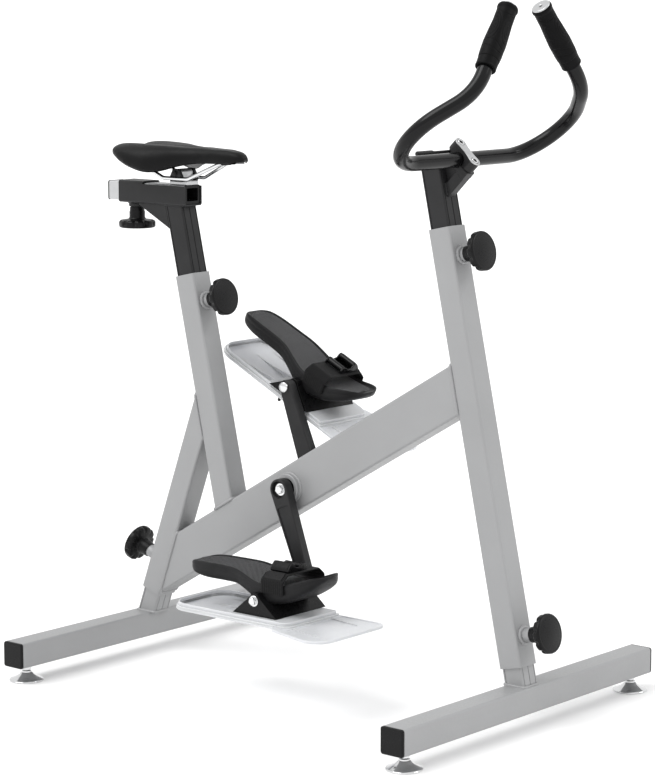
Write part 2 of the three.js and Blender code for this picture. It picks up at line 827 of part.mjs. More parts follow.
// Places along the footbed from heel to toe: along, half width, underside, top edge and foot's floor
const footbedShares = [
  [0, 0.22, 0.52, 0.68, 0.62],
  [0.015, 0.46, 0.44, 0.76, 0.68],
  [0.06, 0.64, 0.34, 0.84, 0.74],
  [0.15, 0.71, 0.28, 0.87, 0.77],
  [0.3, 0.72, 0.29, 0.88, 0.77],
  [0.4, 0.78, 0.28, 0.84, 0.7],
  [0.48, 0.87, 0.12, 0.7, 0.54],
  [0.57, 0.96, -0.1, 0.53, 0.39],
  [0.68, 1, -0.18, 0.51, 0.37],
  [0.8, 0.98, 0.04, 0.66, 0.42],
  [0.89, 0.86, 0.24, 0.84, 0.5],
  [0.96, 0.62, 0.46, 0.97, 0.62],
  [1, 0.3, 0.64, 0.96, 0.7],
];

const footbedMiddle = bracketInnerFace + bracketLength / 2;

function footbedBody() {
  const rings = footbedShares.map(([along, half, low, high]) => {
    const x = along * footbedLength - footbedHeelSetback;
    return footbedRing(x, (half * footbedWidth) / 2, low * footbedHeight, high * footbedHeight);
  });
  return skinned(rings).translate(0, footbedMiddle, 0);
}

// The space inside the raised edge of the footbed, between two heights above the foot's floor
function footSpace(inset, bottom, top) {
  const rings = footbedShares.slice(1, -1).map(([along, half, , , floorShare]) => {
    const x = along * (footbedLength - 2 * inset) + inset - footbedHeelSetback;
    const width = Math.max((half * footbedWidth) / 2 - inset, inset / 2);
    const floor = floorShare * footbedHeight;
    return [
      [x, -width, floor + bottom],
      [x, width, floor + bottom],
      [x, width, floor + top],
      [x, -width, floor + top],
    ];
  });
  return skinned(rings).translate(0, footbedMiddle, 0);
}

// The roof-shaped bracket between the spindle and the fin, as an outline in X and Z
function bracketOutline(inset) {
  const apex = bracketApexRadius - inset;
  const base = bracketBaseHalf - 2 * inset;
  const flat = apex / 2;
  return [
    [-base, -bracketDrop + inset],
    [base, -bracketDrop + inset],
    [flat, apex],
    [-flat, apex],
  ];
}

function bracketBody() {
  const outer = bracketInnerFace + bracketLength;
  const middle = bracketInnerFace + bracketLength / 2;
  const body = plate(bracketOutline(0), bracketLength).translate(0, middle, 0);
  const hollow = plate(bracketOutline(bracketSkin), bracketLength - 2 * bracketEndThickness);
  hollow.translate(0, middle, 0);
  const openBase = boxBetween(
    [3 * bracketSkin - bracketBaseHalf, bracketInnerFace + 2 * bracketPinInset, -bracketDrop - cutOverrun],
    [bracketBaseHalf - 3 * bracketSkin, outer - bracketEndThickness, cutOverrun - bracketDrop + bracketSkin],
  );
  const bore = crossRod(pedalSpindleRadius + seatingGap, 0, 2 * outer, 0, 0, 20);
  const shelled = cut(body, hollow, openBase, bore);
  const pin = rod(bracketPinRadius, -bracketDrop - bracketPinLength, bracketSkin - bracketDrop, 12);
  return join(shelled, pin.translate(-bracketPinSetback, bracketInnerFace + bracketPinInset, 0));
}

// The spindle that goes through the crank's end and the bracket
function pedalSpindle() {
  const outer = bracketInnerFace + bracketLength + seatingGap;
  const inner = crankInnerFace - seatingGap;
  const headEnd = inner - pedalSpindleHeadHeight;
  const shank = crossRod(pedalSpindleRadius, headEnd, outer + pedalNutHeight);
  const head = crossRod(pedalSpindleHeadRadius, headEnd, inner, 0, 0, 6);
  const washer = crossRod(pedalWasherRadius, outer, outer + pedalWasherThickness);
  const nutBase = outer + pedalWasherThickness;
  const nut = crossRod(pedalNutRadius, outer, nutBase + pedalNutHeight, 0, 0, 16);
  return join(shank, head, washer, nut);
}

// The fin: a thick slab with a sunk rear pocket and a wider, thinner flange in front
function finBody() {
  const top = -bracketDrop - seatingGap;
  const low = top - finThickness;
  const rear = -finRearReach;
  const rearCentre = rear + finRearCorner;
  const slabCentre = finSlabFront - finSlabCorner;
  const slabShape = new THREE.Shape();
  slabShape.moveTo(rearCentre, finInnerFace);
  slabShape.lineTo(finSlabFront, finInnerFace);
  slabShape.lineTo(finSlabFront, finSlabOuterFace - finSlabCorner);
  slabShape.absarc(slabCentre, finSlabOuterFace - finSlabCorner, finSlabCorner, 0, Math.PI / 2);
  slabShape.absarc(rearCentre, finSlabOuterFace - finRearCorner, finRearCorner, Math.PI / 2, Math.PI);
  slabShape.absarc(rearCentre, finInnerFace + finRearCorner, finRearCorner, Math.PI, 1.5 * Math.PI);
  const flangeShape = new THREE.Shape();
  const outerMiddle = finFlangeOuterFace - finFlangeCorner;
  flangeShape.moveTo(finFlangeStart, finInnerFace);
  flangeShape.lineTo(finFlangeFront - finFlangeCorner, finInnerFace);
  flangeShape.absarc(
    finFlangeFront - finFlangeCorner,
    finInnerFace + finFlangeCorner,
    finFlangeCorner,
    1.5 * Math.PI,
    2 * Math.PI,
  );
  flangeShape.absarc(finFlangeFront - finFlangeCorner, outerMiddle, finFlangeCorner, 0, Math.PI / 2);
  flangeShape.absarc(finFlangeStart + finFlangeCorner, outerMiddle, finFlangeCorner, Math.PI / 2, Math.PI);
  const body = join(slab(slabShape, low, top, 3), slab(flangeShape, low, low + finFlangeThickness, 3));
  const pocketFront = -bracketBaseHalf - finPocketRim;
  const pocket = boxBetween(
    [rear + finRearCorner / 2, finInnerFace + finPocketRim, top - finPocketDepth],
    [pocketFront, finSlabOuterFace - finPocketRim, top + cutOverrun],
  );
  const ribMiddle = (rear + pocketFront) / 2;
  const rib = plate(
    [
      [ribMiddle - finRearCorner / 2, top - finPocketDepth - finRibThickness / 2],
      [pocketFront + finPocketRim / 2, top - finPocketDepth - finRibThickness / 2],
      [pocketFront + finPocketRim / 2, top],
      [ribMiddle + finRearCorner / 4, top],
    ],
    finRibThickness,
  ).translate(0, (finInnerFace + finSlabOuterFace) / 2, 0);
  const pinHole = rod(bracketPinRadius + boreClearance, low - cutOverrun, top + cutOverrun, 12);
  pinHole.translate(-bracketPinSetback, bracketInnerFace + bracketPinInset, 0);
  return cut(join(cut(body, pocket), rib), pinHole);
}

// The webbing strap over the foot, from one side of the footbed to the other, as an arch in Y and Z
function strapBody() {
  const half = footbedWidth / 2 + strapThickness + seatingGap;
  const outline = (inset) => {
    const side = half - inset;
    const top = strapTop - inset;
    return [
      [-side, strapBottom - (inset > 0 ? cutOverrun : 0)],
      [side, strapBottom - (inset > 0 ? cutOverrun : 0)],
      [side, top - strapShoulder],
      [side - strapShoulder / 3, top - strapShoulder / 3],
      [side - strapShoulder, top],
      [strapShoulder - side, top],
      [strapShoulder / 3 - side, top - strapShoulder / 3],
      [-side, top - strapShoulder],
    ];
  };
  const arch = plate(outline(0), strapWidth);
  const inside = plate(outline(strapThickness), strapWidth + 2 * cutOverrun);
  const strap = cut(arch, inside).rotateZ(Math.PI / 2);
  return strap.translate(strapMiddle, footbedMiddle, 0);
}

// The cam buckle on the strap: a tapered flap with its hinge barrel at the outer end, drawn from there
function buckleBody() {
  const flap = plate(
    [
      [-buckleLength, 0],
      [0, 0],
      [0, 2 * buckleBarrelRadius],
      [-buckleFlapTaper, buckleFlapThickness],
      [buckleFlapTaper - buckleLength, buckleFlapThickness],
      [-buckleLength, buckleFlapThickness / 2],
    ],
    buckleWidth,
  );
  const barrel = crossRod(buckleBarrelRadius, -buckleWidth / 2, buckleWidth / 2, 0, buckleBarrelRadius, 12);
  return join(flap, barrel).rotateZ(Math.PI / 2);
}

function addPedal(hand, side, tilt) {
  const group = addGroup(crankFrame, 0, 0, side * crankLength, crankAngle + tilt);
  addPiece(group, `pedal_bracket_${hand}`, onSide(bracketBody(), side), blackPlastic);
  const roof = plate(bracketOutline(-seatingGap), 2 * footbedWidth).translate(0, footbedMiddle, 0);
  const bed = cut(footbedBody(), footSpace(footbedRim, 0, footbedHeight), roof);
  addPiece(group, `footbed_${hand}`, onSide(bed, side), blackRubber);
  const lining = footSpace(footbedRim + seatingGap, seatingGap, footbedLining);
  addPiece(group, `footbed_lining_${hand}`, onSide(cut(lining, roof), side), greyMesh);
  addPiece(group, `pedal_strap_${hand}`, onSide(strapBody(), side), blackWebbing);
  const flatHalf = footbedWidth / 2 - strapShoulder;
  const buckle = buckleBody();
  buckle.translate(strapMiddle, footbedMiddle + flatHalf, strapTop + seatingGap);
  addPiece(group, `strap_buckle_${hand}`, onSide(buckle, side), glossBlack);
  addPiece(group, `resistance_fin_${hand}`, onSide(finBody(), side), whitePlastic);
}

// Cranks, bolts, spindles and pedals; the left crank points up when the right one points down
for (const [side, hand, tilt] of [[1, "left", leftPedalTilt], [-1, "right", rightPedalTilt]]) {
  addPiece(crankFrame, `crank_${hand}`, crankArm().scale(1, side, side), blackPaint);
  addPiece(crankFrame, `crank_bolt_${hand}`, onSide(crankBolt(), side), polishedSteel);
  const spindle = onSide(pedalSpindle(), side).translate(0, 0, side * crankLength);
  addPiece(crankFrame, `pedal_spindle_${hand}`, spindle, polishedSteel);
  addPedal(hand, side, tilt);
}

// Handlebar post and the stem welded to its front
const stemFrame = addGroup(columnFrame, clampForward, 0, clampAlong, -clampPitch);
addPiece(columnFrame, "handlebar_post", grooved(columnTop - barPostInsertion, barPostTop), blackPaint);
const postFront = carried(halfSpace(halfProfile + seatingGap, -1), columnFrame, stemFrame);
const armReach = 2 * clampForward;
const stemBlock = boxBetween(
  [-clampBackDepth, -clampWidth / 2, -clampHalfLength],
  [-seatingGap, clampWidth / 2, clampBackRise],
);
const stemArm = boxBetween(
  [-armReach, -stemArmWidth / 2, -clampHalfLength],
  [cutOverrun - clampBackDepth, stemArmWidth / 2, stemArmThickness - clampHalfLength],
);
const stemPlate = boxBetween(
  [-armReach, -stemPlateThickness / 2, stemArmThickness / 2 - clampHalfLength],
  [cutOverrun - clampBackDepth, stemPlateThickness / 2, clampBackRise],
);
const barBore = crossRod(barRadius + seatingGap, -clampWidth, clampWidth, 0, 0, 32);
const boltReach = clampBoltSpan / 2;
const boltHole = (z) => {
  const radius = clampBoltRadius + boreClearance;
  const hole = rod(radius, cutOverrun - clampBackDepth, clampCapDepth + cutOverrun, 16);
  return hole.rotateY(Math.PI / 2).translate(0, 0, z);
};
const stem = cut(join(stemBlock, stemArm, stemPlate), postFront, barBore, boltHole(-boltReach));
addPiece(stemFrame, "handlebar_stem", stem, blackPaint);

// Clamp cap with round ends and two sunk bolts
const capEnd = clampWidth / 2;
const capOutline = new THREE.Shape();
capOutline.moveTo(-capEnd, capEnd - clampHalfLength);
capOutline.absarc(0, capEnd - clampHalfLength, capEnd, Math.PI, 2 * Math.PI);
capOutline.absarc(0, clampHalfLength - capEnd, capEnd, 0, Math.PI);
const capBlank = slab(capOutline, seatingGap, clampCapDepth, 4).rotateZ(Math.PI / 2).rotateY(Math.PI / 2);
const headSeat = (z) => {
  const low = clampCapDepth - clampBoltHeadHeight - seatingGap;
  const seat = rod(clampBoltHeadRadius + boreClearance, low, clampCapDepth + cutOverrun, 20);
  return seat.rotateY(Math.PI / 2).translate(0, 0, z);
};
const capHoles = [boltReach, -boltReach].flatMap((z) => [boltHole(z), headSeat(z)]);
const cap = cut(capBlank, barBore, ...capHoles);
addPiece(stemFrame, "stem_clamp_cap", cap, brightAluminium);

function clampBolt(z, depth) {
  const top = clampCapDepth;
  const shank = rod(clampBoltRadius, -depth, top - clampBoltHeadHeight, 16);
  const head = rod(clampBoltHeadRadius, top - clampBoltHeadHeight, top, 20);
  const socket = rod(clampBoltSocketRadius, top - clampBoltSocketDepth, top + cutOverrun, 6);
  return cut(join(shank, head), socket).rotateY(Math.PI / 2).translate(0, 0, z);
}

const lowerBolt = clampBolt(-boltReach, clampBackDepth - 2 * cutOverrun);
const upperBolt = clampBolt(boltReach, leverNutHeight / 2);
addPiece(stemFrame, "clamp_bolt_lower", lowerBolt, polishedSteel);
addPiece(stemFrame, "clamp_bolt_upper", upperBolt, polishedSteel);

// Lever nut on the upper bolt, its rod pointing to the rider's right
const nutTop = -seatingGap;
const boltEnd = -leverNutHeight / 2;
const leverNut = cut(
  rod(leverNutRadius, nutTop - leverNutHeight, nutTop, 16),
  rod(clampBoltRadius + boreClearance, boltEnd - seatingGap, cutOverrun, 16),
);
leverNut.rotateY(Math.PI / 2).translate(0, 0, boltReach);
const leverEnd = -leverRodLength - leverSleeveLength;
const rodPlace = [nutTop - leverSleeveRadius, boltReach + leverRodRadius];
const leverRod = crossRod(leverRodRadius, leverEnd, -leverNutRadius / 2, ...rodPlace, 12);
const leverSleeve = crossRod(leverSleeveRadius, leverEnd, -leverRodLength, ...rodPlace, 16);
addPiece(stemFrame, "clamp_lever", join(leverNut, leverRod, leverSleeve), blackPaint);

// Bent handlebar, the same on both sides, drawn in a level group at the clamp
const barFrame = addGroup(stemFrame, 0, 0, 0, clampPitch + columnTilt);
const barCorners = (side) => [
  new THREE.Vector3(gripEndForward, side * gripEndSpan, gripEndRise),
  new THREE.Vector3(hornForward, side * hornSpan, hornRise),
  new THREE.Vector3(0, side * barCornerSpan, 0),
];
const barPath = bentPath(
  [...barCorners(-1), ...barCorners(1).reverse()],
  [hornBend, barCornerBend, barCornerBend, hornBend],
);
const barTube = alongPath(barPath, barRadius, barSides, barSteps, barRadius - barWall);
addPiece(barFrame, "handlebar", barTube, glossBlack);

// A group at the end of each horn, with Z along the grip and out of the bar
function gripFrame(side) {
  const [end, corner] = barCorners(side);
  const group = addGroup(barFrame, end.x, end.y, end.z);
  group.quaternion.setFromUnitVectors(new THREE.Vector3(0, 0, 1), end.clone().sub(corner).normalize());
  return group;
}

function gripBody() {
  const bore = barRadius + seatingGap;
  const bottom = -gripLength;
  const profile = [
    [bore, bottom],
    [gripFlangeRadius, bottom],
    [gripFlangeRadius, bottom + gripFlangeThickness],
    [gripWaistRadius, bottom + 2 * gripFlangeThickness],
    [gripWaistRadius, bottom + gripLength * gripWaistShare],
    [(gripWaistRadius + gripBellyRadius) / 2, bottom + gripLength * gripSwellShare],
    [gripBellyRadius, bottom + gripLength * gripBellyStartShare],
    [gripBellyRadius, bottom + gripLength * gripBellyEndShare],
    [gripFlangeRadius, -gripFlangeThickness],
    [gripFlangeRadius, 0],
    [bore, 0],
    [bore, bottom],
  ];
  return turned(profile, gripSides);
}

function plugBody() {
  const shank = barRadius - barWall - 2 * seatingGap;
  const top = seatingGap + plugFlangeThickness;
  const profile = [
    [0, -plugShankLength],
    [shank, -plugShankLength],
    [shank, seatingGap],
    [plugFlangeRadius, seatingGap],
    [plugFlangeRadius, top - plugFlangeThickness / 2],
    [plugFlangeRadius - plugFlangeThickness / 2, top],
    [plugVentRadius, top],
    [plugVentRadius, top - plugFlangeThickness / 2],
    [0, top - plugFlangeThickness / 2],
  ];
  return turned(profile, gripSides);
}

for (const [side, hand] of [[1, "left"], [-1, "right"]]) {
  const group = gripFrame(side);
  addPiece(group, `grip_${hand}`, gripBody(), blackRubber);
  addPiece(group, `bar_plug_${hand}`, plugBody(), brightAluminium);
}

// Seat post and the level sleeve on its top
const sleeveX = sleeveFrontLead - seatTubeTopSetback - sleeveLength / 2;
const sleeveFrame = addGroup(bike, sleeveX, 0, seatTubeTopHeight + seatPostShown + sleeveHeight / 2);
const halfSleeve = sleeveLength / 2;
const sleeveUnderside = carried(levelSpace(-sleeveHeight / 2 - seatingGap, 1), sleeveFrame, seatFrame);
const seatPost = cut(grooved(-seatPostInsertion, 2 * seatPostShown), sleeveUnderside);
addPiece(seatFrame, "seat_post", seatPost, blackPaint);
const sleeveTube = boxTube(sleeveHeight, tubeWidth, tubeWall, tubeCorner, -halfSleeve, halfSleeve);
sleeveTube.rotateY(Math.PI / 2);
const sleeveOpening = boxBetween(
  [halfSleeve - sleeveOpenLength, -tubeWidth, sleeveHeight / 2 - sleeveOpenDepth],
  [halfSleeve + cutOverrun, tubeWidth, sleeveHeight],
);
const postBack = carried(halfSpace(-halfProfile - seatingGap, 1), seatFrame, sleeveFrame);
const gussetFront = seatPostFaceAt(-halfProfile, seatPostShown);
const gussetLow = seatPostFaceAt(-halfProfile, seatPostShown - seatGussetDrop);
const gusset = plate(
  [
    [gussetFront - seatGussetReach, -sleeveHeight / 2 + tubeWall / 2],
    [gussetFront - seatGussetReach, -sleeveHeight / 2 - tubeWall],
    [gussetLow, -sleeveHeight / 2 - seatGussetDrop],
    [gussetFront + halfProfile, -sleeveHeight / 2 - seatGussetDrop],
    [gussetFront + halfProfile, -sleeveHeight / 2 + tubeWall / 2],
  ],
  profileWidth,
);
const knobX = -halfSleeve + sliderKnobSetback;
const sliderBoss = turned([
  [0, -sleeveHeight / 2 + tubeWall / 2],
  [sliderBossRadius, -sleeveHeight / 2 + tubeWall / 2],
  [sliderBossRadius, -sleeveHeight / 2 - sliderBossLength],
  [0, -sleeveHeight / 2 - sliderBossLength],
]);
const sliderBoreTop = cutOverrun + tubeWall - sleeveHeight / 2;
const sliderBore = rod(knobStudRadius + boreClearance, -sleeveHeight, sliderBoreTop, 16);
const sleeve = cut(
  join(cut(sleeveTube, sleeveOpening), cut(gusset, postBack), sliderBoss.translate(knobX, 0, 0)),
  sliderBore.translate(knobX, 0, 0),
);
addPiece(sleeveFrame, "seat_sleeve", sleeve, blackPaint);

// Where a plane square to the seat post's X axis lies at a height above the seat tube, measured in the
// sleeve's frame
function seatPostFaceAt(offset, height) {
  const rise = height * Math.tan(seatTilt);
  return -seatTubeTopSetback - rise + offset / Math.cos(seatTilt) - sleeveX;
}

// Saddle slider inside the sleeve, with its end cap and the carriage for the saddle clamp
const sliderHeight = sleeveHeight - 2 * tubeWall - 2 * slideClearance;
const sliderRear = -halfSleeve - sliderOverhang;
const slider = boxTube(sliderHeight, profileWidth, sliderWall, profileCorner, sliderRear, halfSleeve);
addPiece(sleeveFrame, "saddle_slider", slider.rotateY(Math.PI / 2), brightAluminium);
const sliderPlugHeight = sliderHeight - 2 * sliderWall - 2 * seatingGap;
const sliderPlugWidth = profileWidth - 2 * sliderWall - 2 * seatingGap;
const sliderCapOutline = roundedRectangle(new THREE.Shape(), sliderHeight, profileWidth, profileCorner);
const sliderPlugOutline = roundedRectangle(
  new THREE.Shape(),
  sliderPlugHeight,
  sliderPlugWidth,
  profileCorner / 2,
);
const sliderCap = join(
  slab(sliderCapOutline, -sliderCapThickness, 0),
  slab(sliderPlugOutline, -sliderCapThickness / 2, sliderCapPlug),
);
sliderCap.rotateY(Math.PI / 2).translate(sliderRear - seatingGap, 0, 0);
addPiece(sleeveFrame, "slider_end_cap", sliderCap, blackPlastic);

const carriageBase = sliderHeight / 2 + seatingGap;
const carriageFront = halfSleeve - carriageFrontSetback;
const carriageX = carriageFront - carriageLength / 2;
const clampHeight = carriageBase + carriageThickness + saddlePivotRise;
const carriagePlate = boxBetween(
  [carriageFront - carriageLength, -carriageWidth / 2, carriageBase],
  [carriageFront, carriageWidth / 2, carriageBase + carriageThickness],
);
const stubHalf = carriageWidth / 2;
const carriageStub = join(
  boxBetween(
    [carriageX - carriageStubRadius, -stubHalf, carriageBase + carriageThickness / 2],
    [carriageX + carriageStubRadius, stubHalf, clampHeight],
  ),
  crossRod(carriageStubRadius, -stubHalf, stubHalf, carriageX, clampHeight),
);
const stubBore = crossRod(jawBoltRadius + boreClearance, -tubeWidth, tubeWidth, carriageX, clampHeight, 20);
const carriage = cut(join(carriagePlate, carriageStub), stubBore);
addPiece(sleeveFrame, "saddle_carriage", carriage, brightAluminium);

// A group at the saddle's pivot, which is the cross bolt of its clamp
const saddleFrame = addGroup(sleeveFrame, carriageX, 0, clampHeight);

// The saddle's rails: one bent wire, closed round the nose, given a radius and the reach of its rear ends
function railWire(radius, rearReach) {
  const side = (hand) => [
    new THREE.Vector3(-railRearEnd, (hand * railRearSpacing) / 2, railRearHeight + rearReach),
    new THREE.Vector3(-railRearEnd, (hand * railRearSpacing) / 2, railRearHeight - railRearRise),
    new THREE.Vector3(-railFlatReach, (hand * railSpacing) / 2, -railDrop),
    new THREE.Vector3(railFlatReach, (hand * railSpacing) / 2, -railDrop),
    new THREE.Vector3(railNoseReach, (hand * railNoseSpacing) / 2, railNoseRise - railDrop),
  ];
  const path = bentPath(
    [...side(1), ...side(-1).reverse()],
    [railBend, railBend, railBend, railNoseBend, railNoseBend, railBend, railBend, railBend],
  );
  return alongPath(path, radius, railSides, railSteps);
}

// Two jaws that hold the rails, drawn together by the cross bolt
const jawInner = stubHalf + boreClearance;
const jawMiddle = jawInner + jawThickness / 2;
const jaw = plate(
  [
    [-jawHalfLength, -jawDrop],
    [jawHalfLength, -jawDrop],
    [jawHalfLength, -jawDrop / 3],
    [jawHalfLength / 2, jawRise],
    [-jawHalfLength / 2, jawRise],
    [-jawHalfLength, -jawDrop / 3],
  ],
  jawThickness,
).translate(0, jawMiddle, 0);
const jawOuter = jawInner + jawThickness;
const jawBolt = join(
  crossRod(jawBoltRadius, -jawOuter, jawOuter, 0, 0, 20),
  crossRod(jawNutRadius, jawOuter - jawThickness / 3, jawOuter + jawNutHeight, 0, 0, 6),
  crossRod(jawNutRadius, -jawOuter - jawNutHeight, jawThickness / 3 - jawOuter, 0, 0, 6),
);
const saddleClamp = cut(join(jaw, onSide(jaw, -1), jawBolt), railWire(railRadius + seatingGap, 0));
addPiece(saddleFrame, "saddle_clamp", saddleClamp, blackPaint);

// Places along the saddle from rear to nose: along, half width, crown, skirt and channel depth
const saddleShares = [
  [0, 0.3, 0.72, 0.16, 0],
  [0.03, 0.62, 0.84, 0.34, 0.3],
  [0.1, 0.84, 0.95, 0.58, 0.9],
  [0.2, 0.95, 1, 0.78, 1],
  [0.32, 0.94, 0.99, 0.92, 1],
  [0.42, 0.8, 0.96, 0.86, 0.9],
  [0.52, 0.58, 0.9, 0.66, 0.7],
  [0.62, 0.42, 0.87, 0.54, 0.5],
  [0.75, 0.34, 0.86, 0.5, 0.3],
  [0.87, 0.3, 0.84, 0.48, 0.15],
  [0.95, 0.24, 0.76, 0.38, 0],
  [1, 0.12, 0.58, 0.16, 0],
];

// One place along the saddle in real sizes, measured from the saddle's pivot
function saddleStation([along, half, crown, skirt, channel]) {
  return {
    x: along * saddleLength - saddleRearReach,
    half: (half * saddleWidth) / 2,
    crown: saddleCrownHeight - saddleDepth + crown * saddleDepth,
    skirt: skirt * saddleDepth,
    channel: channel * saddleChannelDepth,
  };
}

// Height of the padding's underside at a share of the shell's half width
function archHeight(station, share) {
  const pad = Math.min(saddlePadding, station.skirt / 2);
  return station.crown - pad - (station.skirt - pad) * share ** 2;
}

const archShares = [-1, -0.7, -0.4, -0.15, 0.15, 0.4, 0.7, 1];

function archPoints(station, drop) {
  const shellHalf = station.half - Math.min(saddleEdge, station.half / 3);
  return archShares.map((share) => [station.x, share * shellHalf, archHeight(station, share) - drop]);
}

// The padded cover: a crowned top with a channel, sides that draw in, and an arched underside
function coverRing(station) {
  const sweep = Math.PI + 2 * coverDrawIn;
  const top = Array.from({ length: coverSteps + 1 }, (_, i) => {
    const angle = -coverDrawIn + (sweep * i) / coverSteps;
    const across = Math.cos(angle);
    const up = Math.sin(angle);
    const y = station.half * Math.sign(across) * Math.abs(across) ** coverSquareShare;
    const channelShare = Math.max(1 - (y / (station.half * channelWidthShare)) ** 2, 0) ** 2;
    const edge = station.crown - station.skirt;
    const dome = Math.max(up, 0) ** coverCrownShare * station.skirt;
    const tuck = Math.min(up, 0) * Math.min(saddleEdge, station.skirt / 2);
    return [station.x, y, edge + dome + tuck - channelShare * station.channel];
  });
  return [...top, ...archPoints(station, 0)];
}

const saddleStations = saddleShares.map(saddleStation);
addPiece(saddleFrame, "saddle_cover", skinned(saddleStations.map(coverRing)), saddleBlack);

// The saddle's shell: a thin arch under the padding, with sockets for the rails
function shellSkin(topDrop, bottomDrop) {
  const rings = saddleStations.map((station) => [
    ...archPoints(station, topDrop),
    ...archPoints(station, bottomDrop).reverse(),
  ]);
  return skinned(rings);
}

const underShell = shellSkin(saddleShellGap + saddleShellThickness / 2, 2 * saddleDepth);
const socketReach = [railRearHeight - railSocketDepth, railRearHeight + saddleDepth];
const rearSocket = rod(railSocketRadius, ...socketReach).translate(-railRearEnd, railRearSpacing / 2, 0);
const noseHeight = railNoseRise - railDrop;
const noseSocket = boxBetween(
  [railNoseReach - 2 * railNoseBend, -railNoseSpacing / 2, noseHeight - railSocketRadius / 2],
  [railNoseReach + railNoseBend, railNoseSpacing / 2, noseHeight + saddleDepth],
);
const sockets = join(rearSocket, onSide(rearSocket, -1), noseSocket);
const shellPlate = shellSkin(saddleShellGap, saddleShellGap + saddleShellThickness);
const saddleShell = join(shellPlate, keep(sockets, underShell));
const wireSpace = railWire(railRadius + seatingGap, seatingGap);
addPiece(saddleFrame, "saddle_shell", cut(saddleShell, wireSpace), blackPlastic);
addPiece(saddleFrame, "saddle_rails", railWire(railRadius, 0), polishedSteel);

// The five hand knobs, each at the end of its boss
function addKnob(name, parent, bossLength, place, turnY = 0) {
  const group = addGroup(parent, ...place, turnY);
  const studReach = bossLength + tubeWall + slideClearance - studTipClearance;
  addPiece(group, name, knob(studReach), blackPlastic);
}

const barKnobPlace = [halfTube + barKnobBoss, 0, barKnobAlong];
const frontLegKnobPlace = [halfTube + frontLegKnobBoss, 0, frontLegKnobAlong];
const seatKnobPlace = [halfTube + seatKnobBoss, 0, -seatKnobBelowTop];
const rearLegKnobPlace = [-halfTube - rearLegKnobBoss, 0, rearLegKnobAlong];
addKnob("knob_handlebar_height", columnFrame, barKnobBoss, barKnobPlace);
addKnob("knob_front_leg", columnFrame, frontLegKnobBoss, frontLegKnobPlace);
addKnob("knob_seat_height", seatFrame, seatKnobBoss, seatKnobPlace);
addKnob("knob_rear_leg", strutFrame, rearLegKnobBoss, rearLegKnobPlace, Math.PI);
const sliderKnobHeight = -sleeveHeight / 2 - sliderBossLength;
addKnob("knob_saddle_slide", sleeveFrame, sliderBossLength, [knobX, 0, sliderKnobHeight], Math.PI / 2);

// The origin goes to the floor under the middle of the bike
bike.updateMatrixWorld(true);
const extent = new THREE.Box3().setFromObject(bike, true);
const middle = extent.getCenter(new THREE.Vector3());
bike.position.set(-middle.x, -middle.y, -extent.min.z);

export default bike;
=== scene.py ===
"""The look of a pool exercise bike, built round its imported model. Metres, +X forward, +Y left, +Z up."""

import json
import math

import bmesh
import bpy
import numpy as np
from mathutils import Matrix, Vector


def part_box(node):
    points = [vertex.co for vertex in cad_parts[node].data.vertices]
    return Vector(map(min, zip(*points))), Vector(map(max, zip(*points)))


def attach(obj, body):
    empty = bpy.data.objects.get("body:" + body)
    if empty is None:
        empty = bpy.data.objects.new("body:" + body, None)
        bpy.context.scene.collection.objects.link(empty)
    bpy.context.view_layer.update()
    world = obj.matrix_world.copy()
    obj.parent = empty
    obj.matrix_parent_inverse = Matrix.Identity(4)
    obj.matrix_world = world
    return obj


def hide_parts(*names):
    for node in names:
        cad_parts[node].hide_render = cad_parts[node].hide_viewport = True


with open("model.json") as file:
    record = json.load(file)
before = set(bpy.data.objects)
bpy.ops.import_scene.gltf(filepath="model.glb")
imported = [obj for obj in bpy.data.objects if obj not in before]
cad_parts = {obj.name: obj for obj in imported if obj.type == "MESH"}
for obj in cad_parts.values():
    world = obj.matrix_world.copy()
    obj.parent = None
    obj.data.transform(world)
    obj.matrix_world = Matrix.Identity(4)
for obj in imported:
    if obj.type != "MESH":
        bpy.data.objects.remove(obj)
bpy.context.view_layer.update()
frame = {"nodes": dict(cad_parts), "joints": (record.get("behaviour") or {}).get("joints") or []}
SIDES = ((1, "left"), (-1, "right"))
TURN = 2 * math.pi

# Square tubes and the drawn profile of the legs and posts
TUBE = 0.045
WALL = 0.0025
CORNER = 0.0045
PROFILE = 0.0388
PROFILE_CORNER = 0.0028
PROFILE_WALL = 0.003
GROOVE_WIDTH = 0.0024
GROOVE_DEPTH = 0.0012
SIDE_GROOVE_INSET = 0.005
EDGE_GROOVE_INSET = 0.0042
WELD_RADIUS = 0.0031
STRUT_WELD_RADIUS = 0.0024
STEM_WELD_RADIUS = 0.0025
SEAT_WELD_RADIUS = 0.002
WELD_PITCH = 0.0036
GAP = 0.0003

# Floor bars, legs and column
BAR_LENGTH = 0.693
CAP_THICKNESS = 0.005
FOOT_INSET = 0.033
FOOT_NUT_LOW = 0.0195
COLUMN_FOOT = 0.053
COLUMN_TOP = 0.784
STRUT_FOOT = 0.067
FRONT_LEG_TOP = 0.283
REAR_LEG_TOP = 0.267

# Main beam, crank shell and cranks
BEAM_SLOPE = math.radians(30.3)
BEAM_HEIGHT = 0.08
BEAM_DROP = 0.003
SHELL_RADIUS = 0.025
SHELL_LENGTH = 0.064
CRANK_LENGTH = 0.175
CRANK_INNER = 0.036
CRANK_OUTER = 0.054
HUB_RADIUS = 0.019
END_RADIUS = 0.0125
RECESS_RADIUS = 0.0144
RECESS_DEPTH = 0.008
PANEL_INSET = 0.0042

# Knobs and their bosses
KNOB_RADIUS = 0.033
KNOB_LOBES = 10
KNOB_SCALLOP = 0.0034
BOSS_RADIUS = 0.0115
COLLAR_RADIUS = 0.018

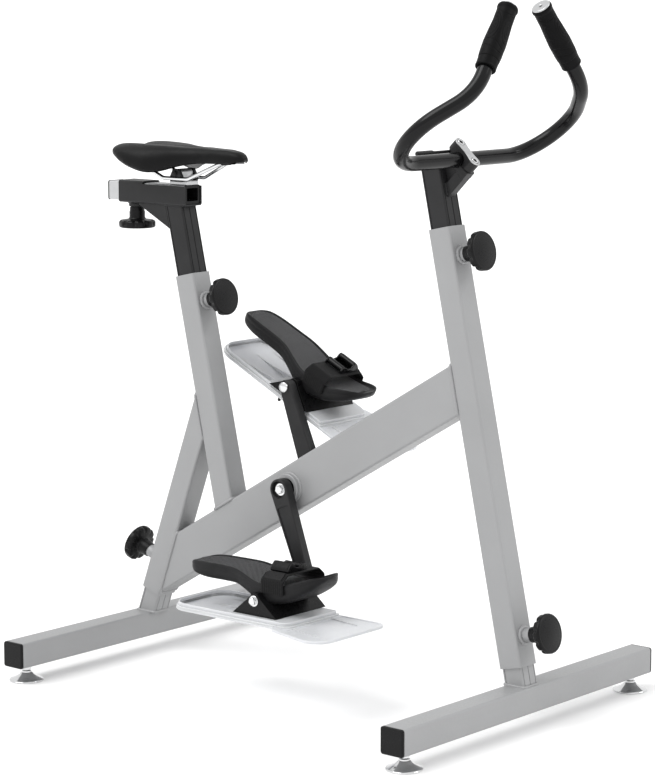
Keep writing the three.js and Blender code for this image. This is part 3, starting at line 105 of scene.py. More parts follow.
# Handlebar, its post and clamp
POST_LOW = 0.574
POST_TOP = 0.903
CLAMP_HALF = 0.03
CLAMP_WIDTH = 0.022
CLAMP_BACK = 0.015
CLAMP_RISE = 0.011
CAP_DEPTH = 0.02
CAP_FACE = 0.0016
BOLT_REACH = 0.0203
ARM_THICKNESS = 0.019
ARM_REACH = 0.1
ARM_END = 0.013
ARM_CORNER = 0.003
BAR_RADIUS = 0.0125
GRIP_LENGTH = 0.118
GRIP_GROOVE = 0.0006
BAR_CORNER_SPAN = 0.289
HORN = (0.139, 0.1444, 0.117)
GRIP_END = (0.125, 0.0445, 0.2465)
CORNER_BEND = 0.08
HORN_BEND = 0.089

# Seat post, sleeve and slider
SEAT_KNOB_OUT = 0.0435
SEAT_KNOB_DROP = 0.051
SEAT_POST_LOW = -0.19
SLEEVE_LENGTH = 0.163
SLEEVE_HEIGHT = 0.04
SLEEVE_OPEN = 0.103
SLEEVE_STEP = 0.005
GUSSET_REACH = 0.066
GUSSET_DROP = 0.042
SLIDER_OUT = 0.027
SLIDER_BOSS = 0.018
SLIDER_RECESS = 0.004
SLIDER_HEIGHT = SLEEVE_HEIGHT - 2 * WALL - 0.0012
SLIDER_CORNER = 0.003

# Saddle
SADDLE_LENGTH = 0.278
SADDLE_WIDTH = 0.15
SADDLE_REAR = 0.13
SADDLE_CROWN = 0.0565
SADDLE_DEPTH = 0.056
CHANNEL_DEPTH = 0.014
REAR_NOTCH = 0.012
SADDLE_LIP = 0.009
RAIL_RADIUS = 0.0035
RAIL_REAR = -0.066
RAIL_HALF = 0.03
PAD_VOXEL = 0.004
PAD_SWELL = 0.004

# Pedals, measured from the spindle
BRACKET_INNER = 0.057
BRACKET_LENGTH = 0.13
BRACKET_HALF = 0.049
BRACKET_DROP = 0.0255
BRACKET_APEX = 0.013
FOOTBED_LENGTH = 0.3
FOOTBED_WIDTH = 0.104
FOOTBED_HEIGHT = 0.05
FOOTBED_HEEL = 0.186
FOOTBED_RIM = 0.0065
FOOTBED_MIDDLE = BRACKET_INNER + BRACKET_LENGTH / 2
STRAP_WIDTH = 0.05
STRAP_FRONT = 0.055
STRAP_TOP = 0.048
STRAP_BOTTOM = 0.014
STRAP_THICKNESS = 0.0026
STRAP_SHOULDER = 0.013
STRAP_DROP = 0.011
STRAP_BEND = 0.005
STRAP_MIDDLE = STRAP_FRONT - STRAP_WIDTH / 2
BUCKLE_LENGTH = 0.044
BUCKLE_WIDTH = 0.04
HINGE_OUT = FOOTBED_WIDTH / 2 - 0.02

# Fins
FIN_TOP = -BRACKET_DROP - GAP
FIN_THICKNESS = 0.013
FIN_REAR = -0.19
FIN_SLAB_FRONT = 0.084
FIN_FRONT = 0.19
FIN_INNER = 0.06
FIN_SLAB_OUTER = 0.2
FIN_OUTER = 0.25
FIN_CORNER = 0.038
FIN_RIM = 0.0065
FIN_FLANGE_START = 0.062
FLANGE_THICKNESS = 0.005
FLANGE_STEP = 0.014

# Camera: its place, its turns in degrees and its lens in millimetres
CAMERA_PLACE = (3.0101, -3.5503, 1.2260)
CAMERA_DROP = 8.599
CAMERA_TURN = 40.186
CAMERA_LENS = 126.6

# Turns that lay a shape drawn along Z along X or Y, and a quarter turn about Z
ALONG_X = Matrix.Rotation(math.pi / 2, 4, "Y")
ALONG_Y = Matrix.Rotation(-math.pi / 2, 4, "X")
QUARTER = Matrix.Rotation(math.pi / 2, 4, "Z")


# Frames of reference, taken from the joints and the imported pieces

joints = {joint["name"]: joint for joint in frame["joints"]}


def place_of(name):
    return Vector(joints[name]["pos_m"])


def axis_of(name):
    return Vector(joints[name]["axis"]).normalized()


def leaning(origin, forward):
    """A frame with X along forward and Y along the bike's own."""
    x = Vector(forward).normalized()
    y = Vector((0, 1, 0))
    turned_axes = Matrix((x, y, x.cross(y))).transposed().to_4x4()
    turned_axes.translation = Vector(origin)
    return turned_axes


def pointing(origin, way):
    """A frame whose Z points a given way."""
    matrix = Vector((0, 0, 1)).rotation_difference(way).to_matrix().to_4x4()
    matrix.translation = origin
    return matrix


def middle_plane(point):
    return Vector((point.x, 0, point.z))


def point_in(matrix, x=0.0, z=0.0):
    return matrix @ Vector((x, 0, z))


def bar_frames():
    low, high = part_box("front_floor_bar")
    height = low.z + TUBE / 2
    front = leaning((high.x - TUBE / 2, 0, height), (1, 0, 0))
    rear_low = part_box("rear_floor_bar")[0]
    return front, leaning((rear_low.x + TUBE / 2, 0, height), (1, 0, 0))


FRONT_BAR, REAR_BAR = bar_frames()
COLUMN = leaning(FRONT_BAR.translation, axis_of("bar_height_knob_turn"))
STRUT = leaning(REAR_BAR.translation, -axis_of("rear_leg_knob_turn"))
CRANK_CENTRE = place_of("crank_spin")
BEAM = leaning(CRANK_CENTRE, (math.cos(BEAM_SLOPE), 0, math.sin(BEAM_SLOPE)))
BEAM.translation = point_in(BEAM, z=-BEAM_DROP)
SEAT = leaning(place_of("seat_height_knob_turn"), axis_of("seat_height_knob_turn"))
SEAT.translation = point_in(SEAT, x=-SEAT_KNOB_OUT, z=SEAT_KNOB_DROP)
STEM = leaning(place_of("handlebar_tilt"), -axis_of("clamp_lever_turn"))
BAR = leaning(place_of("handlebar_tilt"), (1, 0, 0))
SADDLE = leaning(place_of("saddle_tilt"), (1, 0, 0))


def sleeve_frame():
    low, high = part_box("saddle_slider")
    return leaning((high.x - SLEEVE_LENGTH / 2, 0, (low.z + high.z) / 2), (1, 0, 0))


def crank_frame():
    arm = middle_plane(place_of("pedal_left_spin") - CRANK_CENTRE).normalized()
    return leaning(CRANK_CENTRE, (arm.z, 0, -arm.x))


def pedal_frame(side, hand):
    return leaning(middle_plane(place_of(f"pedal_{hand}_spin")), -side * axis_of(f"buckle_{hand}_open"))


SLEEVE = sleeve_frame()
CRANK = crank_frame()


# Outlines, solids, cuts and paths, in local coordinates

def link_rings(bm, first, second):
    """Faces between two rings, either of which may be a single point."""
    count = max(len(first), len(second))
    for i in range(count):
        j = (i + 1) % count
        corners = [first[i % len(first)], first[j % len(first)]]
        corners += [second[j % len(second)], second[i % len(second)]]
        unique = [v for k, v in enumerate(corners) if v not in corners[:k]]
        if len(unique) > 2:
            bm.faces.new(unique)


def loft(rings, cyclic=False, capped=True):
    """A skin over closed rings of points."""
    bm = bmesh.new()
    loops = [[bm.verts.new(point) for point in ring] for ring in rings]
    for first, second in zip(loops, loops[1:]):
        link_rings(bm, first, second)
    if cyclic:
        link_rings(bm, loops[-1], loops[0])
    elif capped:
        for loop in (loops[0], loops[-1]):
            if len(loop) > 2:
                bm.faces.new(loop)
    return bm


def polar(radius, angle):
    return radius * math.cos(angle), radius * math.sin(angle)


def polygon(radius, sides):
    return [polar(radius, TURN * i / sides) for i in range(sides)]


def circle(radius, height, sides):
    return [Vector((x, y, height)) for x, y in polygon(radius, sides)]


def turned(profile, sides=48, closed=False):
    """A solid turned about Z from pairs of radius and height."""
    rings = [circle(r, h, sides) if r > 1e-6 else [Vector((0, 0, h))] for r, h in profile]
    return loft(rings, cyclic=closed, capped=False)


def rod(radius, low, high, sides=40, edge=0.0006):
    """A round bar along Z with softened ends."""
    edge = min(edge, radius / 3)
    return turned([(0, low), (radius - edge, low), (radius, low + edge), (radius, high - edge),
                   (radius - edge, high), (0, high)], sides)


def rounded_rectangle(width, depth, corner):
    steps = 6
    points = []
    for quarter in range(4):
        middle = math.pi / 4 + quarter * math.pi / 2
        x = math.copysign(width / 2 - corner, math.cos(middle))
        y = math.copysign(depth / 2 - corner, math.sin(middle))
        for i in range(steps + 1):
            angle = (quarter + i / steps) * math.pi / 2
            points.append(Vector((x + corner * math.cos(angle), y + corner * math.sin(angle))))
    return points


def grooved_outline(width, corner):
    """The rounded square of the telescoping profile with its lengthwise grooves."""
    half = width / 2
    edge = half - EDGE_GROOVE_INSET
    centres = [Vector((end * half, y)) for end in (1, -1) for y in (-edge, 0, edge)]
    centres += [Vector((SIDE_GROOVE_INSET - half, half)), Vector((SIDE_GROOVE_INSET - half, -half))]
    outline = rounded_rectangle(width, width, corner)
    result = []
    for here, there in zip(outline, outline[1:] + outline[:1]):
        result.append(here)
        run = there - here
        if run.length < corner:
            continue
        along = run.normalized()
        inward = Vector((-along.y, along.x))
        for centre in sorted(centres, key=lambda c: (c - here).dot(along)):
            offset = centre - here
            if abs(offset.dot(inward)) < 1e-6 and 0 < offset.dot(along) < run.length:
                for share, depth in ((-0.5, 0), (-0.35, 0.8), (-0.15, 1), (0.15, 1), (0.35, 0.8), (0.5, 0)):
                    shift = along * (share * GROOVE_WIDTH) + inward * (depth * GROOVE_DEPTH)
                    result.append(centre + shift)
    return result


def rounded_corner(before, corner, after, radius, spacing=0.0, steps=8):
    """Points of an arc in place of a corner, in steps or at a spacing."""
    back = (before - corner).normalized()
    ahead = (after - corner).normalized()
    turn = math.pi - back.angle(ahead)
    setback = radius * math.tan(turn / 2)
    centre = corner + (back + ahead).normalized() * (radius / math.cos(turn / 2))
    start = corner + back * setback - centre
    end = corner + ahead * setback - centre
    count = max(4, int(radius * turn / spacing)) if spacing else steps
    weights = [(math.sin((1 - i / count) * turn), math.sin(i / count * turn)) for i in range(count + 1)]
    return [centre + (start * first + end * last) / math.sin(turn) for first, last in weights]


def rounded_outline(corners, steps=8):
    """A closed outline through corners given as X, Y and radius."""
    flat = [Vector(corner[:2]) for corner in corners]
    points = []
    for i, corner in enumerate(corners):
        after = flat[(i + 1) % len(flat)]
        points += rounded_corner(flat[i - 1], flat[i], after, corner[2], steps=steps)
    return points


def stepped_cap(width, depth, corner, keep, base, rows):
    """A plug of rounded rectangles, from pairs of height and inset."""
    rings = []
    for height, inset in rows:
        radius = max(corner - inset * keep, 0.001)
        shape = rounded_rectangle(width - 2 * inset, depth - 2 * inset, radius)
        rings.append([Vector((p.x, p.y, base + height)) for p in shape])
    return loft(rings)


def local_plane(of, axis, offset, within):
    """A plane square to one axis of one frame, as a point and a normal in another frame."""
    way = Vector((0, 0, 0))
    way[axis] = 1
    back = within.inverted()
    return back @ (of @ (way * offset)), (back.to_3x3() @ of.to_3x3() @ way).normalized()


def level(height):
    return Vector((0, 0, height)), Vector((0, 0, 1))


def cut_loop(outline, plane):
    """Where the outline, drawn out along Z, meets a plane."""
    point, normal = plane
    loop = []
    for p in outline:
        flat = Vector((p.x, p.y, 0))
        loop.append(flat + Vector((0, 0, (point - flat).dot(normal) / normal.z)))
    return loop


def extruded(outline, bottom, top, wall=0.0):
    """An outline drawn out along Z between two planes, hollow where a wall is given."""
    if not wall:
        return loft([cut_loop(outline, bottom), cut_loop(outline, top)])
    half_x = max(p.x for p in outline)
    half_y = max(p.y for p in outline)
    inner = [Vector((p.x * (1 - wall / half_x), p.y * (1 - wall / half_y))) for p in outline]
    rings = [cut_loop(outline, bottom), cut_loop(outline, top), cut_loop(inner, top), cut_loop(inner, bottom)]
    return loft(rings, cyclic=True)


def upright(points, width):
    """An outline drawn in X and Z with a width along Y."""
    rings = [[Vector((x, y, z)) for x, z in points] for y in (-width / 2, width / 2)]
    return loft(rings)


def slab(points, low, high):
    """An outline drawn in X and Y, raised along Z."""
    return loft([[Vector((x, y, z)) for x, y in points] for z in (low, high)])


def block(low, high):
    (x0, y0, z0), (x1, y1, z1) = low, high
    return slab([(x0, y0), (x1, y0), (x1, y1), (x0, y1)], z0, z1)


def softened(bm, width, angle=30, segments=3):
    """Rounded edges wherever faces meet at more than the angle."""
    bmesh.ops.recalc_face_normals(bm, faces=bm.faces)
    sharp = [e for e in bm.edges if len(e.link_faces) == 2 and e.calc_face_angle(0) > math.radians(angle)]
    bmesh.ops.bevel(bm, geom=sharp, offset=width, segments=segments, profile=0.5, affect="EDGES",
                    clamp_overlap=True)
    return bm


def clipped(bm, plane):
    """What lies in front of a plane, closed where it is cut."""
    point, normal = plane
    geometry = bm.verts[:] + bm.edges[:] + bm.faces[:]
    bmesh.ops.bisect_plane(bm, geom=geometry, dist=1e-7, plane_co=point, plane_no=-normal, clear_outer=True)
    bmesh.ops.holes_fill(bm, edges=[e for e in bm.edges if e.is_boundary])
    return bm


def hex_nut(radius, low, high, edge):
    return softened(slab(polygon(radius, 6), low, high), edge)


def moved(bm, matrix=None, x=0.0, y=0.0, z=0.0):
    shift = Matrix.Translation((x, y, z))
    bmesh.ops.transform(bm, matrix=shift @ matrix if matrix else shift, verts=bm.verts)
    return bm


def mirrored(bm):
    bmesh.ops.scale(bm, vec=(1, -1, 1), verts=bm.verts)
    return bm


def as_mesh(bm, name):
    mesh = bpy.data.meshes.new(name)
    bm.to_mesh(mesh)
    bm.free()
    return mesh


def added(name, data):
    """A new object in the scene."""
    item = bpy.data.objects.new(name, data)
    bpy.context.scene.collection.objects.link(item)
    return item


def together(*parts):
    """Several bmeshes in one."""
    result = parts[0]
    for part in parts[1:]:
        mesh = as_mesh(part, "part")
        result.from_mesh(mesh)
        bpy.data.meshes.remove(mesh)
    return result


def carved(bm, *cutters):
    """A closed bmesh after boolean cuts by other closed ones."""
    made = []
    for part in (bm, *cutters):
        bmesh.ops.recalc_face_normals(part, faces=part.faces)
        made.append(added("carving", as_mesh(part, "carving")))
    for tool in made[1:]:
        modifier = made[0].modifiers.new("carve", "BOOLEAN")
        modifier.operation = "DIFFERENCE"
        modifier.solver = "EXACT"
        modifier.object = tool
    graph = bpy.context.evaluated_depsgraph_get()
    result = bmesh.new()
    result.from_object(made[0], graph)
    for item in made:
        mesh = item.data
        bpy.data.objects.remove(item)
        bpy.data.meshes.remove(mesh)
    bmesh.ops.remove_doubles(result, verts=result.verts, dist=1e-6)
    return result


def bent_path(corners, bends, step=0.003):
    """Points along a path through corners, each rounded to its bend radius."""
    nodes = [Vector(corner) for corner in corners]
    points = [nodes[0]]
    for before, corner, after, radius in zip(nodes, nodes[1:], nodes[2:], bends):
        points += rounded_corner(before, corner, after, radius, spacing=step)
    return points + [nodes[-1]]


def even_path(points, step, closed=False):
    """The same path with points at an even spacing."""
    loop = points + points[:1] if closed else points
    lengths = [0.0]
    for a, b in zip(loop, loop[1:]):
        lengths.append(lengths[-1] + (b - a).length)
    count = max(3, round(lengths[-1] / step))
    stations = np.linspace(0, lengths[-1], count + 1)[: count if closed else None]
    columns = [np.interp(stations, lengths, [p[i] for p in loop]) for i in range(3)]
    return [Vector(row) for row in zip(*columns)]


def swept(points, section, closed=False, up=(0, 0, 1)):
    """A section, given as a function of the share of the way along, carried along a path."""
    count = len(points)
    tangents = []
    for i in range(count):
        before = points[i - 1] if closed or i else points[0]
        after = points[(i + 1) % count] if closed or i + 1 < count else points[-1]
        tangents.append((after - before).normalized())
    side = Vector(up).cross(tangents[0])
    side = side.normalized() if side.length > 1e-3 else Vector((1, 0, 0)).cross(tangents[0]).normalized()
    rings = []
    for i, (point, tangent) in enumerate(zip(points, tangents)):
        side = (side - tangent * side.dot(tangent)).normalized()
        over = tangent.cross(side)
        rings.append([point + side * u + over * v for u, v in section(i / max(count - 1, 1))])
    return loft(rings, cyclic=closed)


def round_section(radius, sides):
    return lambda share: polygon(radius, sides)


def weld(loop, radius=WELD_RADIUS):
    """A rippled bead of weld round a closed loop."""
    points = even_path(loop, WELD_PITCH / 4, closed=True)
    ripples = max(1, round(len(points) / 4))

    def section(share):
        travel = share * ripples * math.pi
        swell = radius * (0.84 + 0.12 * abs(math.sin(travel)) + 0.05 * math.sin(travel / 5.3))
        return polygon(swell, 10)

    return swept(points, section, closed=True, up=(0.3, 0.9, 0.2))


def smooth_rows(rows, count):
    """A table of shares read at more places, by Catmull-Rom curves."""
    table = np.array([rows[0], *rows, rows[-1]], float)
    result = []
    for s in np.linspace(0, len(rows) - 1, count):
        i = min(int(s), len(rows) - 2)
        t = s - i
        a, b, c, d = table[i:i + 4]
        result.append(0.5 * (2 * b + (c - a) * t + (2 * a - 5 * b + 4 * c - d) * t ** 2
                             + (3 * b - a - 3 * c + d) * t ** 3))
    return result


def linked(name, bm, look):
    """A mesh object in the scene, with its look."""
    bmesh.ops.recalc_face_normals(bm, faces=bm.faces)
    piece = added(name, as_mesh(bm, name))
    piece.data.materials.append(look.material)
    return piece


def make(name, bm, place, look, body, *nodes, side=1, sharp=40, weighted=True, slot=None):
    """A finished piece that rides on a body and stands for its nodes."""
    if side < 0:
        mirrored(bm)
    piece = linked(name, moved(bm, place), look)
    piece.data.shade_smooth()
    piece.data.set_sharp_from_angle(angle=math.radians(sharp))
    if weighted:
        modifier = piece.modifiers.new("normals", "WEIGHTED_NORMAL")
        modifier.keep_sharp = True
    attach(piece, body)
    slot or look.slot
    if nodes:
        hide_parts(*nodes)
    return piece


# Materials

class Look:
    """A principled material under construction, in the object's own coordinates in metres."""

    def __init__(self, name, slot, color, roughness, specular, metallic=0.0, coords="Object"):
        self.material = bpy.data.materials.new(name)
        self.material.use_nodes = True
        self.tree = self.material.node_tree
        self.shader = self.tree.nodes["Principled BSDF"]
        self.slot = slot
        self.color = color
        self.roughness = roughness
        self.set("Base Color", (*color, 1))
        self.set("Roughness", roughness)
        self.set("Metallic", metallic)
        self.set("Specular IOR Level", specular)
        self.plain = self.node("ShaderNodeTexCoord").outputs[coords]
        self.coords = self.plain

    def set(self, socket, value):
        self.shader.inputs[socket].default_value = value

    def node(self, kind, **settings):
        node = self.tree.nodes.new(kind)
        for key, value in settings.items():
            setattr(node, key, value)
        return node

    def link(self, source, target):
        self.tree.links.new(source, target)

    def mapped(self, setting, value):
        """Textures made after this are stretched by a Scale or turned by a Rotation."""
        mapping = self.node("ShaderNodeMapping")
        mapping.inputs[setting].default_value = value
        self.link(self.plain, mapping.inputs["Vector"])
        self.coords = mapping.outputs["Vector"]

    def texture(self, kind, output, inputs, **settings):
        node = self.node(kind, **settings)
        for socket, value in inputs.items():
            node.inputs[socket].default_value = value
        self.link(self.coords, node.inputs["Vector"])
        return node.outputs[output]

    def noise(self, scale, detail=3.0):
        return self.texture("ShaderNodeTexNoise", "Fac", {"Scale": scale, "Detail": detail})

    def grain(self, scale):
        return self.noise(scale, 2.0)

    def cells(self, scale):
        return self.texture("ShaderNodeTexVoronoi", "Distance", {"Scale": scale})

    def waves(self, scale, direction):
        return self.texture("ShaderNodeTexWave", "Fac", {"Scale": scale}, bands_direction=direction)

    def product(self, first, second):
        node = self.node("ShaderNodeMath", operation="MULTIPLY")
        self.link(first, node.inputs[0])
        self.link(second, node.inputs[1])
        return node.outputs[0]

    def ramp(self, source, low, high, start, end):
        ramp = self.node("ShaderNodeValToRGB")
        for element, color, position in zip(ramp.color_ramp.elements, (low, high), (start, end)):
            element.position = position
            element.color = (*color, 1)
        self.link(source, ramp.inputs["Fac"])
        return ramp.outputs["Color"]

    def tint(self, source, spread, start=0.3, end=0.7):
        """Colour that varies round the base colour."""
        low = [c * (1 - spread) for c in self.color]
        high = [min(1.0, c * (1 + spread)) for c in self.color]
        self.link(self.ramp(source, low, high, start, end), self.shader.inputs["Base Color"])

    def gloss(self, source, spread):
        """Roughness that varies round its base value."""
        low = [max(0.02, self.roughness - spread)] * 3
        high = [min(1.0, self.roughness + spread)] * 3
        self.link(self.ramp(source, low, high, 0.3, 0.7), self.shader.inputs["Roughness"])

    def bump(self, *layers):
        """Bumps from pairs of a source and its height in metres."""
        normal = None
        for source, height in layers:
            bump = self.node("ShaderNodeBump")
            bump.inputs["Distance"].default_value = height
            self.link(source, bump.inputs["Height"])
            if normal:
                self.link(normal, bump.inputs["Normal"])
            normal = bump.outputs["Normal"]
        self.link(normal, self.shader.inputs["Normal"])


def finish(name, slot, color, roughness, specular, tint, gloss, *bumps, metallic=0.0):
    """A varied look: tint and gloss are a noise scale and a spread, bumps a texture, scale and height."""
    look = Look(name, slot, color, roughness, specular, metallic)
    look.tint(look.noise(tint[0]), tint[1])
    look.gloss(look.noise(gloss[0]), gloss[1])
    look.bump(*[(texture(look, scale), height) for texture, scale, height in bumps])
    return look


def woven(name, slot, color, roughness, specular, slant, threads, shade, fine, depth):
    """A cloth of crossing threads that slant across its flat coordinates."""
    look = Look(name, slot, color, roughness, specular, coords="UV")
    look.mapped("Rotation", (0, 0, math.radians(slant)))
    weave = look.product(look.waves(threads[0], "X"), look.waves(threads[1], "Y"))
    look.tint(weave, *shade)
    look.gloss(look.noise(fine[0]), 0.08)
    look.bump((weave, depth), (look.grain(fine[1]), 0.0001))
    return look


def satin_aluminium():
    """Metal brushed lengthwise."""
    look = Look("satin_aluminium", "bright_metal", (0.5, 0.505, 0.51), 0.36, 0.5, metallic=0.8)
    look.tint(look.noise(60), 0.03)
    look.mapped("Scale", (0.15, 1, 1))
    look.gloss(look.grain(900), 0.05)
    look.mapped("Scale", (0.1, 1, 1))
    look.bump((look.grain(1300), 0.00002))
    return look


POWDER = finish("powder_coat_grey", "frame_grey", (0.295, 0.297, 0.301), 0.42, 0.5, (9, 0.03), (260, 0.07),
                (Look.grain, 1100, 0.00006), (Look.grain, 90, 0.00006), metallic=0.1)
SATIN = finish("satin_black_paint", "black_paint", (0.017, 0.017, 0.0177), 0.42, 0.22, (22, 0.15),
               (400, 0.06), (Look.grain, 1500, 0.00005))
GLOSS = finish("gloss_black_paint", "gloss_black", (0.003, 0.003, 0.0033), 0.2, 0.22, (30, 0.1), (200, 0.04),
               (Look.grain, 700, 0.00003))
MOULDED = finish("moulded_black_plastic", "black_plastic", (0.005, 0.005, 0.0053), 0.32, 0.17, (35, 0.12),
                 (300, 0.07), (Look.cells, 1900, 0.00004), (Look.grain, 160, 0.00005))
RUBBER = finish("black_rubber", "black_rubber", (0.0035, 0.0035, 0.0037), 0.48, 0.08, (60, 0.15), (500, 0.06),
                (Look.cells, 1300, 0.00006), (Look.grain, 2400, 0.00004))
FOAM = finish("satin_footbed_foam", "black_rubber", (0.013, 0.013, 0.0136), 0.44, 0.13, (40, 0.15),
              (420, 0.06), (Look.cells, 1500, 0.00006), (Look.grain, 120, 0.0001))
SKIN = finish("black_saddle_skin", "saddle_black", (0.004, 0.004, 0.0042), 0.4, 0.13, (26, 0.18), (300, 0.06),
              (Look.cells, 1500, 0.0001), (Look.grain, 3000, 0.00004))
CHROME = finish("polished_chrome", "polished_steel", (0.7, 0.705, 0.71), 0.13, 0.5, (45, 0.05), (500, 0.04),
                (Look.grain, 900, 0.00001), metallic=1.0)
FIN = finish("white_fin_plastic", "white_plastic", (0.575, 0.585, 0.6), 0.34, 0.5, (14, 0.025), (220, 0.06),
             (Look.grain, 500, 0.00006))
FIN.set("Subsurface Weight", 0.3)
FIN.set("Subsurface Radius", (0.01, 0.01, 0.011))
FIN.set("Subsurface Scale", 1.0)
WEBBING = woven("ribbed_webbing", "black_webbing", (0.008, 0.008, 0.0084), 0.75, 0.12, 45, (210, 330),
                (0.5, 0.1, 0.8), (600, 2500), 0.0004)
WEBBING.set("Sheen Weight", 0.06)
LINING = woven("meshed_lining", "grey_mesh", (0.185, 0.186, 0.19), 0.7, 0.15, 40, (150, 150),
               (0.72, 0.02, 0.55), (500, 1800), 0.0005)
ALUMINIUM = satin_aluminium()


# Tubes of the frame

TUBE_OUTLINE = rounded_rectangle(TUBE, TUBE, CORNER)
PROFILE_OUTLINE = rounded_rectangle(PROFILE, PROFILE, PROFILE_CORNER)


def boss(length):
    """A welded boss with its collar, along X from a tube's face."""
    edge = 0.0008
    low = -WALL / 2
    shoulder = BOSS_RADIUS - edge
    profile = [(0, low), (BOSS_RADIUS, low), (BOSS_RADIUS, length - edge), (shoulder, length), (0, length)]
    bead_radius = (COLLAR_RADIUS - BOSS_RADIUS) * 0.62
    bead = weld(circle(BOSS_RADIUS + bead_radius * 0.35, 0, 64), bead_radius)
    return moved(together(turned(profile), moved(bead, z=bead_radius * 0.2)), ALONG_X)


def build_column():
    column = extruded(TUBE_OUTLINE, level(COLUMN_FOOT), level(COLUMN_TOP), WALL)
    bosses = []
    for name in ("bar_height_knob_turn", "front_leg_knob_turn"):
        knob = COLUMN.inverted() @ place_of(name)
        bosses.append(moved(boss(knob.x - TUBE / 2), x=TUBE / 2, z=knob.z))
    make("column_tube", together(column, *bosses), COLUMN, POWDER, "frame", "front_column")


def build_seat_tube():
    beam_top = local_plane(BEAM, 2, BEAM_HEIGHT / 2, SEAT)
    tube = extruded(TUBE_OUTLINE, beam_top, level(0), WALL)
    knob_boss = moved(boss(SEAT_KNOB_OUT - TUBE / 2), x=TUBE / 2, z=-SEAT_KNOB_DROP)
    shape = together(tube, knob_boss, weld(cut_loop(TUBE_OUTLINE, beam_top)))
    make("seat_tube_shape", shape, SEAT, POWDER, "frame", "seat_tube")


def build_strut():
    seat_back = local_plane(SEAT, 0, -TUBE / 2, STRUT)
    strut = extruded(TUBE_OUTLINE, level(STRUT_FOOT), seat_back, WALL)
    knob = STRUT.inverted() @ place_of("rear_leg_knob_turn")
    knob_boss = moved(boss(-knob.x - TUBE / 2), Matrix.Rotation(math.pi, 4, "Z"), x=-TUBE / 2, z=knob.z)
    shape = together(strut, knob_boss, weld(cut_loop(TUBE_OUTLINE, seat_back), STRUT_WELD_RADIUS))
    make("strut_tube", shape, STRUT, POWDER, "frame", "rear_strut")


def build_beam():
    lengthwise = BEAM @ ALONG_X
    outer = rounded_rectangle(BEAM_HEIGHT, TUBE, CORNER)
    at_column = local_plane(COLUMN, 0, -TUBE / 2, lengthwise)
    at_strut = local_plane(STRUT, 0, TUBE / 2, lengthwise)
    beam = extruded(outer, at_strut, at_column, WALL)
    welds = [weld(cut_loop(outer, plane)) for plane in (at_column, at_strut)]
    make("beam_tube", together(beam, *welds), lengthwise, POWDER, "frame", "main_beam")


def build_crank_shell():
    half = SHELL_LENGTH / 2
    bore = 0.017
    edge = 0.001
    outer = SHELL_RADIUS
    ring = turned([(bore, -half + edge), (bore + edge, -half), (outer - edge, -half), (outer, -half + edge),
                   (outer, half - edge), (outer - edge, half), (bore + edge, half), (bore, half - edge)],
                  64, closed=True)
    beads = [weld(circle(SHELL_RADIUS, side * TUBE / 2, 64)) for side in (1, -1)]
    make("crank_shell_ring", together(ring, *beads), CRANK @ ALONG_Y, POWDER, "frame", "crank_shell")


def build_floor_bar(end, place, leg_frame, leg_top, body):
    half = BAR_LENGTH / 2 - CAP_THICKNESS
    bar = moved(extruded(TUBE_OUTLINE, level(-half), level(half), WALL), ALONG_Y)
    top = local_plane(place, 2, TUBE / 2, leg_frame)
    leg = extruded(grooved_outline(PROFILE, PROFILE_CORNER), top, level(leg_top), PROFILE_WALL)
    leg = moved(together(leg, weld(cut_loop(PROFILE_OUTLINE, top))), place.inverted() @ leg_frame)
    make(f"{end}_bar_and_leg", together(bar, leg), place, POWDER, body, f"{end}_floor_bar")
    rows = ((-0.014, 0.0028), (-0.0002, 0.0028), (0, 0), (0.0028, 0), (0.0042, 0.0007), (0.005, 0.0022))
    for side, hand in SIDES:
        cap = moved(stepped_cap(TUBE, TUBE, CORNER, 0.5, half + GAP, rows), ALONG_Y)
        make(f"{end}_cap_{hand}", cap, place, MOULDED, body, f"{end}_end_cap_{hand}", side=side)
        build_foot(end, hand, side, place)


def build_foot(end, hand, side, place):
    """A turned levelling foot with its stud and locknut, which stands on the floor."""
    base = -place.translation.z
    profile = [(0, 0), (0.028, 0), (0.0294, 0.0004), (0.03, 0.0014), (0.03, 0.0022), (0.0292, 0.0032),
               (0.0275, 0.0038), (0.022, 0.0058), (0.0165, 0.0086), (0.0125, 0.0115), (0.0105, 0.0142),
               (0.0085, 0.0152), (0.0085, 0.0176), (0.0062, 0.0184), (0.005, 0.0186), (0.005, 0.05),
               (0, 0.05)]
    nut_low = base + FOOT_NUT_LOW
    nut = hex_nut(0.0088, nut_low, nut_low + 0.0078, 0.0006)
    shape = moved(together(moved(turned(profile, 64), z=base), nut), y=BAR_LENGTH / 2 - FOOT_INSET)
    body = f"{end}_{hand}_foot"
    make(f"{end}_foot_{hand}_disc", shape, place, CHROME, body, f"{end}_foot_{hand}", side=side)


# Hand knobs

def knob_ring(radius, height, depth, sides):
    """A ring of the rim, scalloped between its lobes."""
    ring = []
    for i in range(sides):
        angle = TURN * i / sides
        scallop = max(0.0, math.cos(angle * KNOB_LOBES)) ** 1.5
        r = radius - KNOB_SCALLOP * depth * scallop
        ring.append(Vector((*polar(r, angle), height)))
    return ring


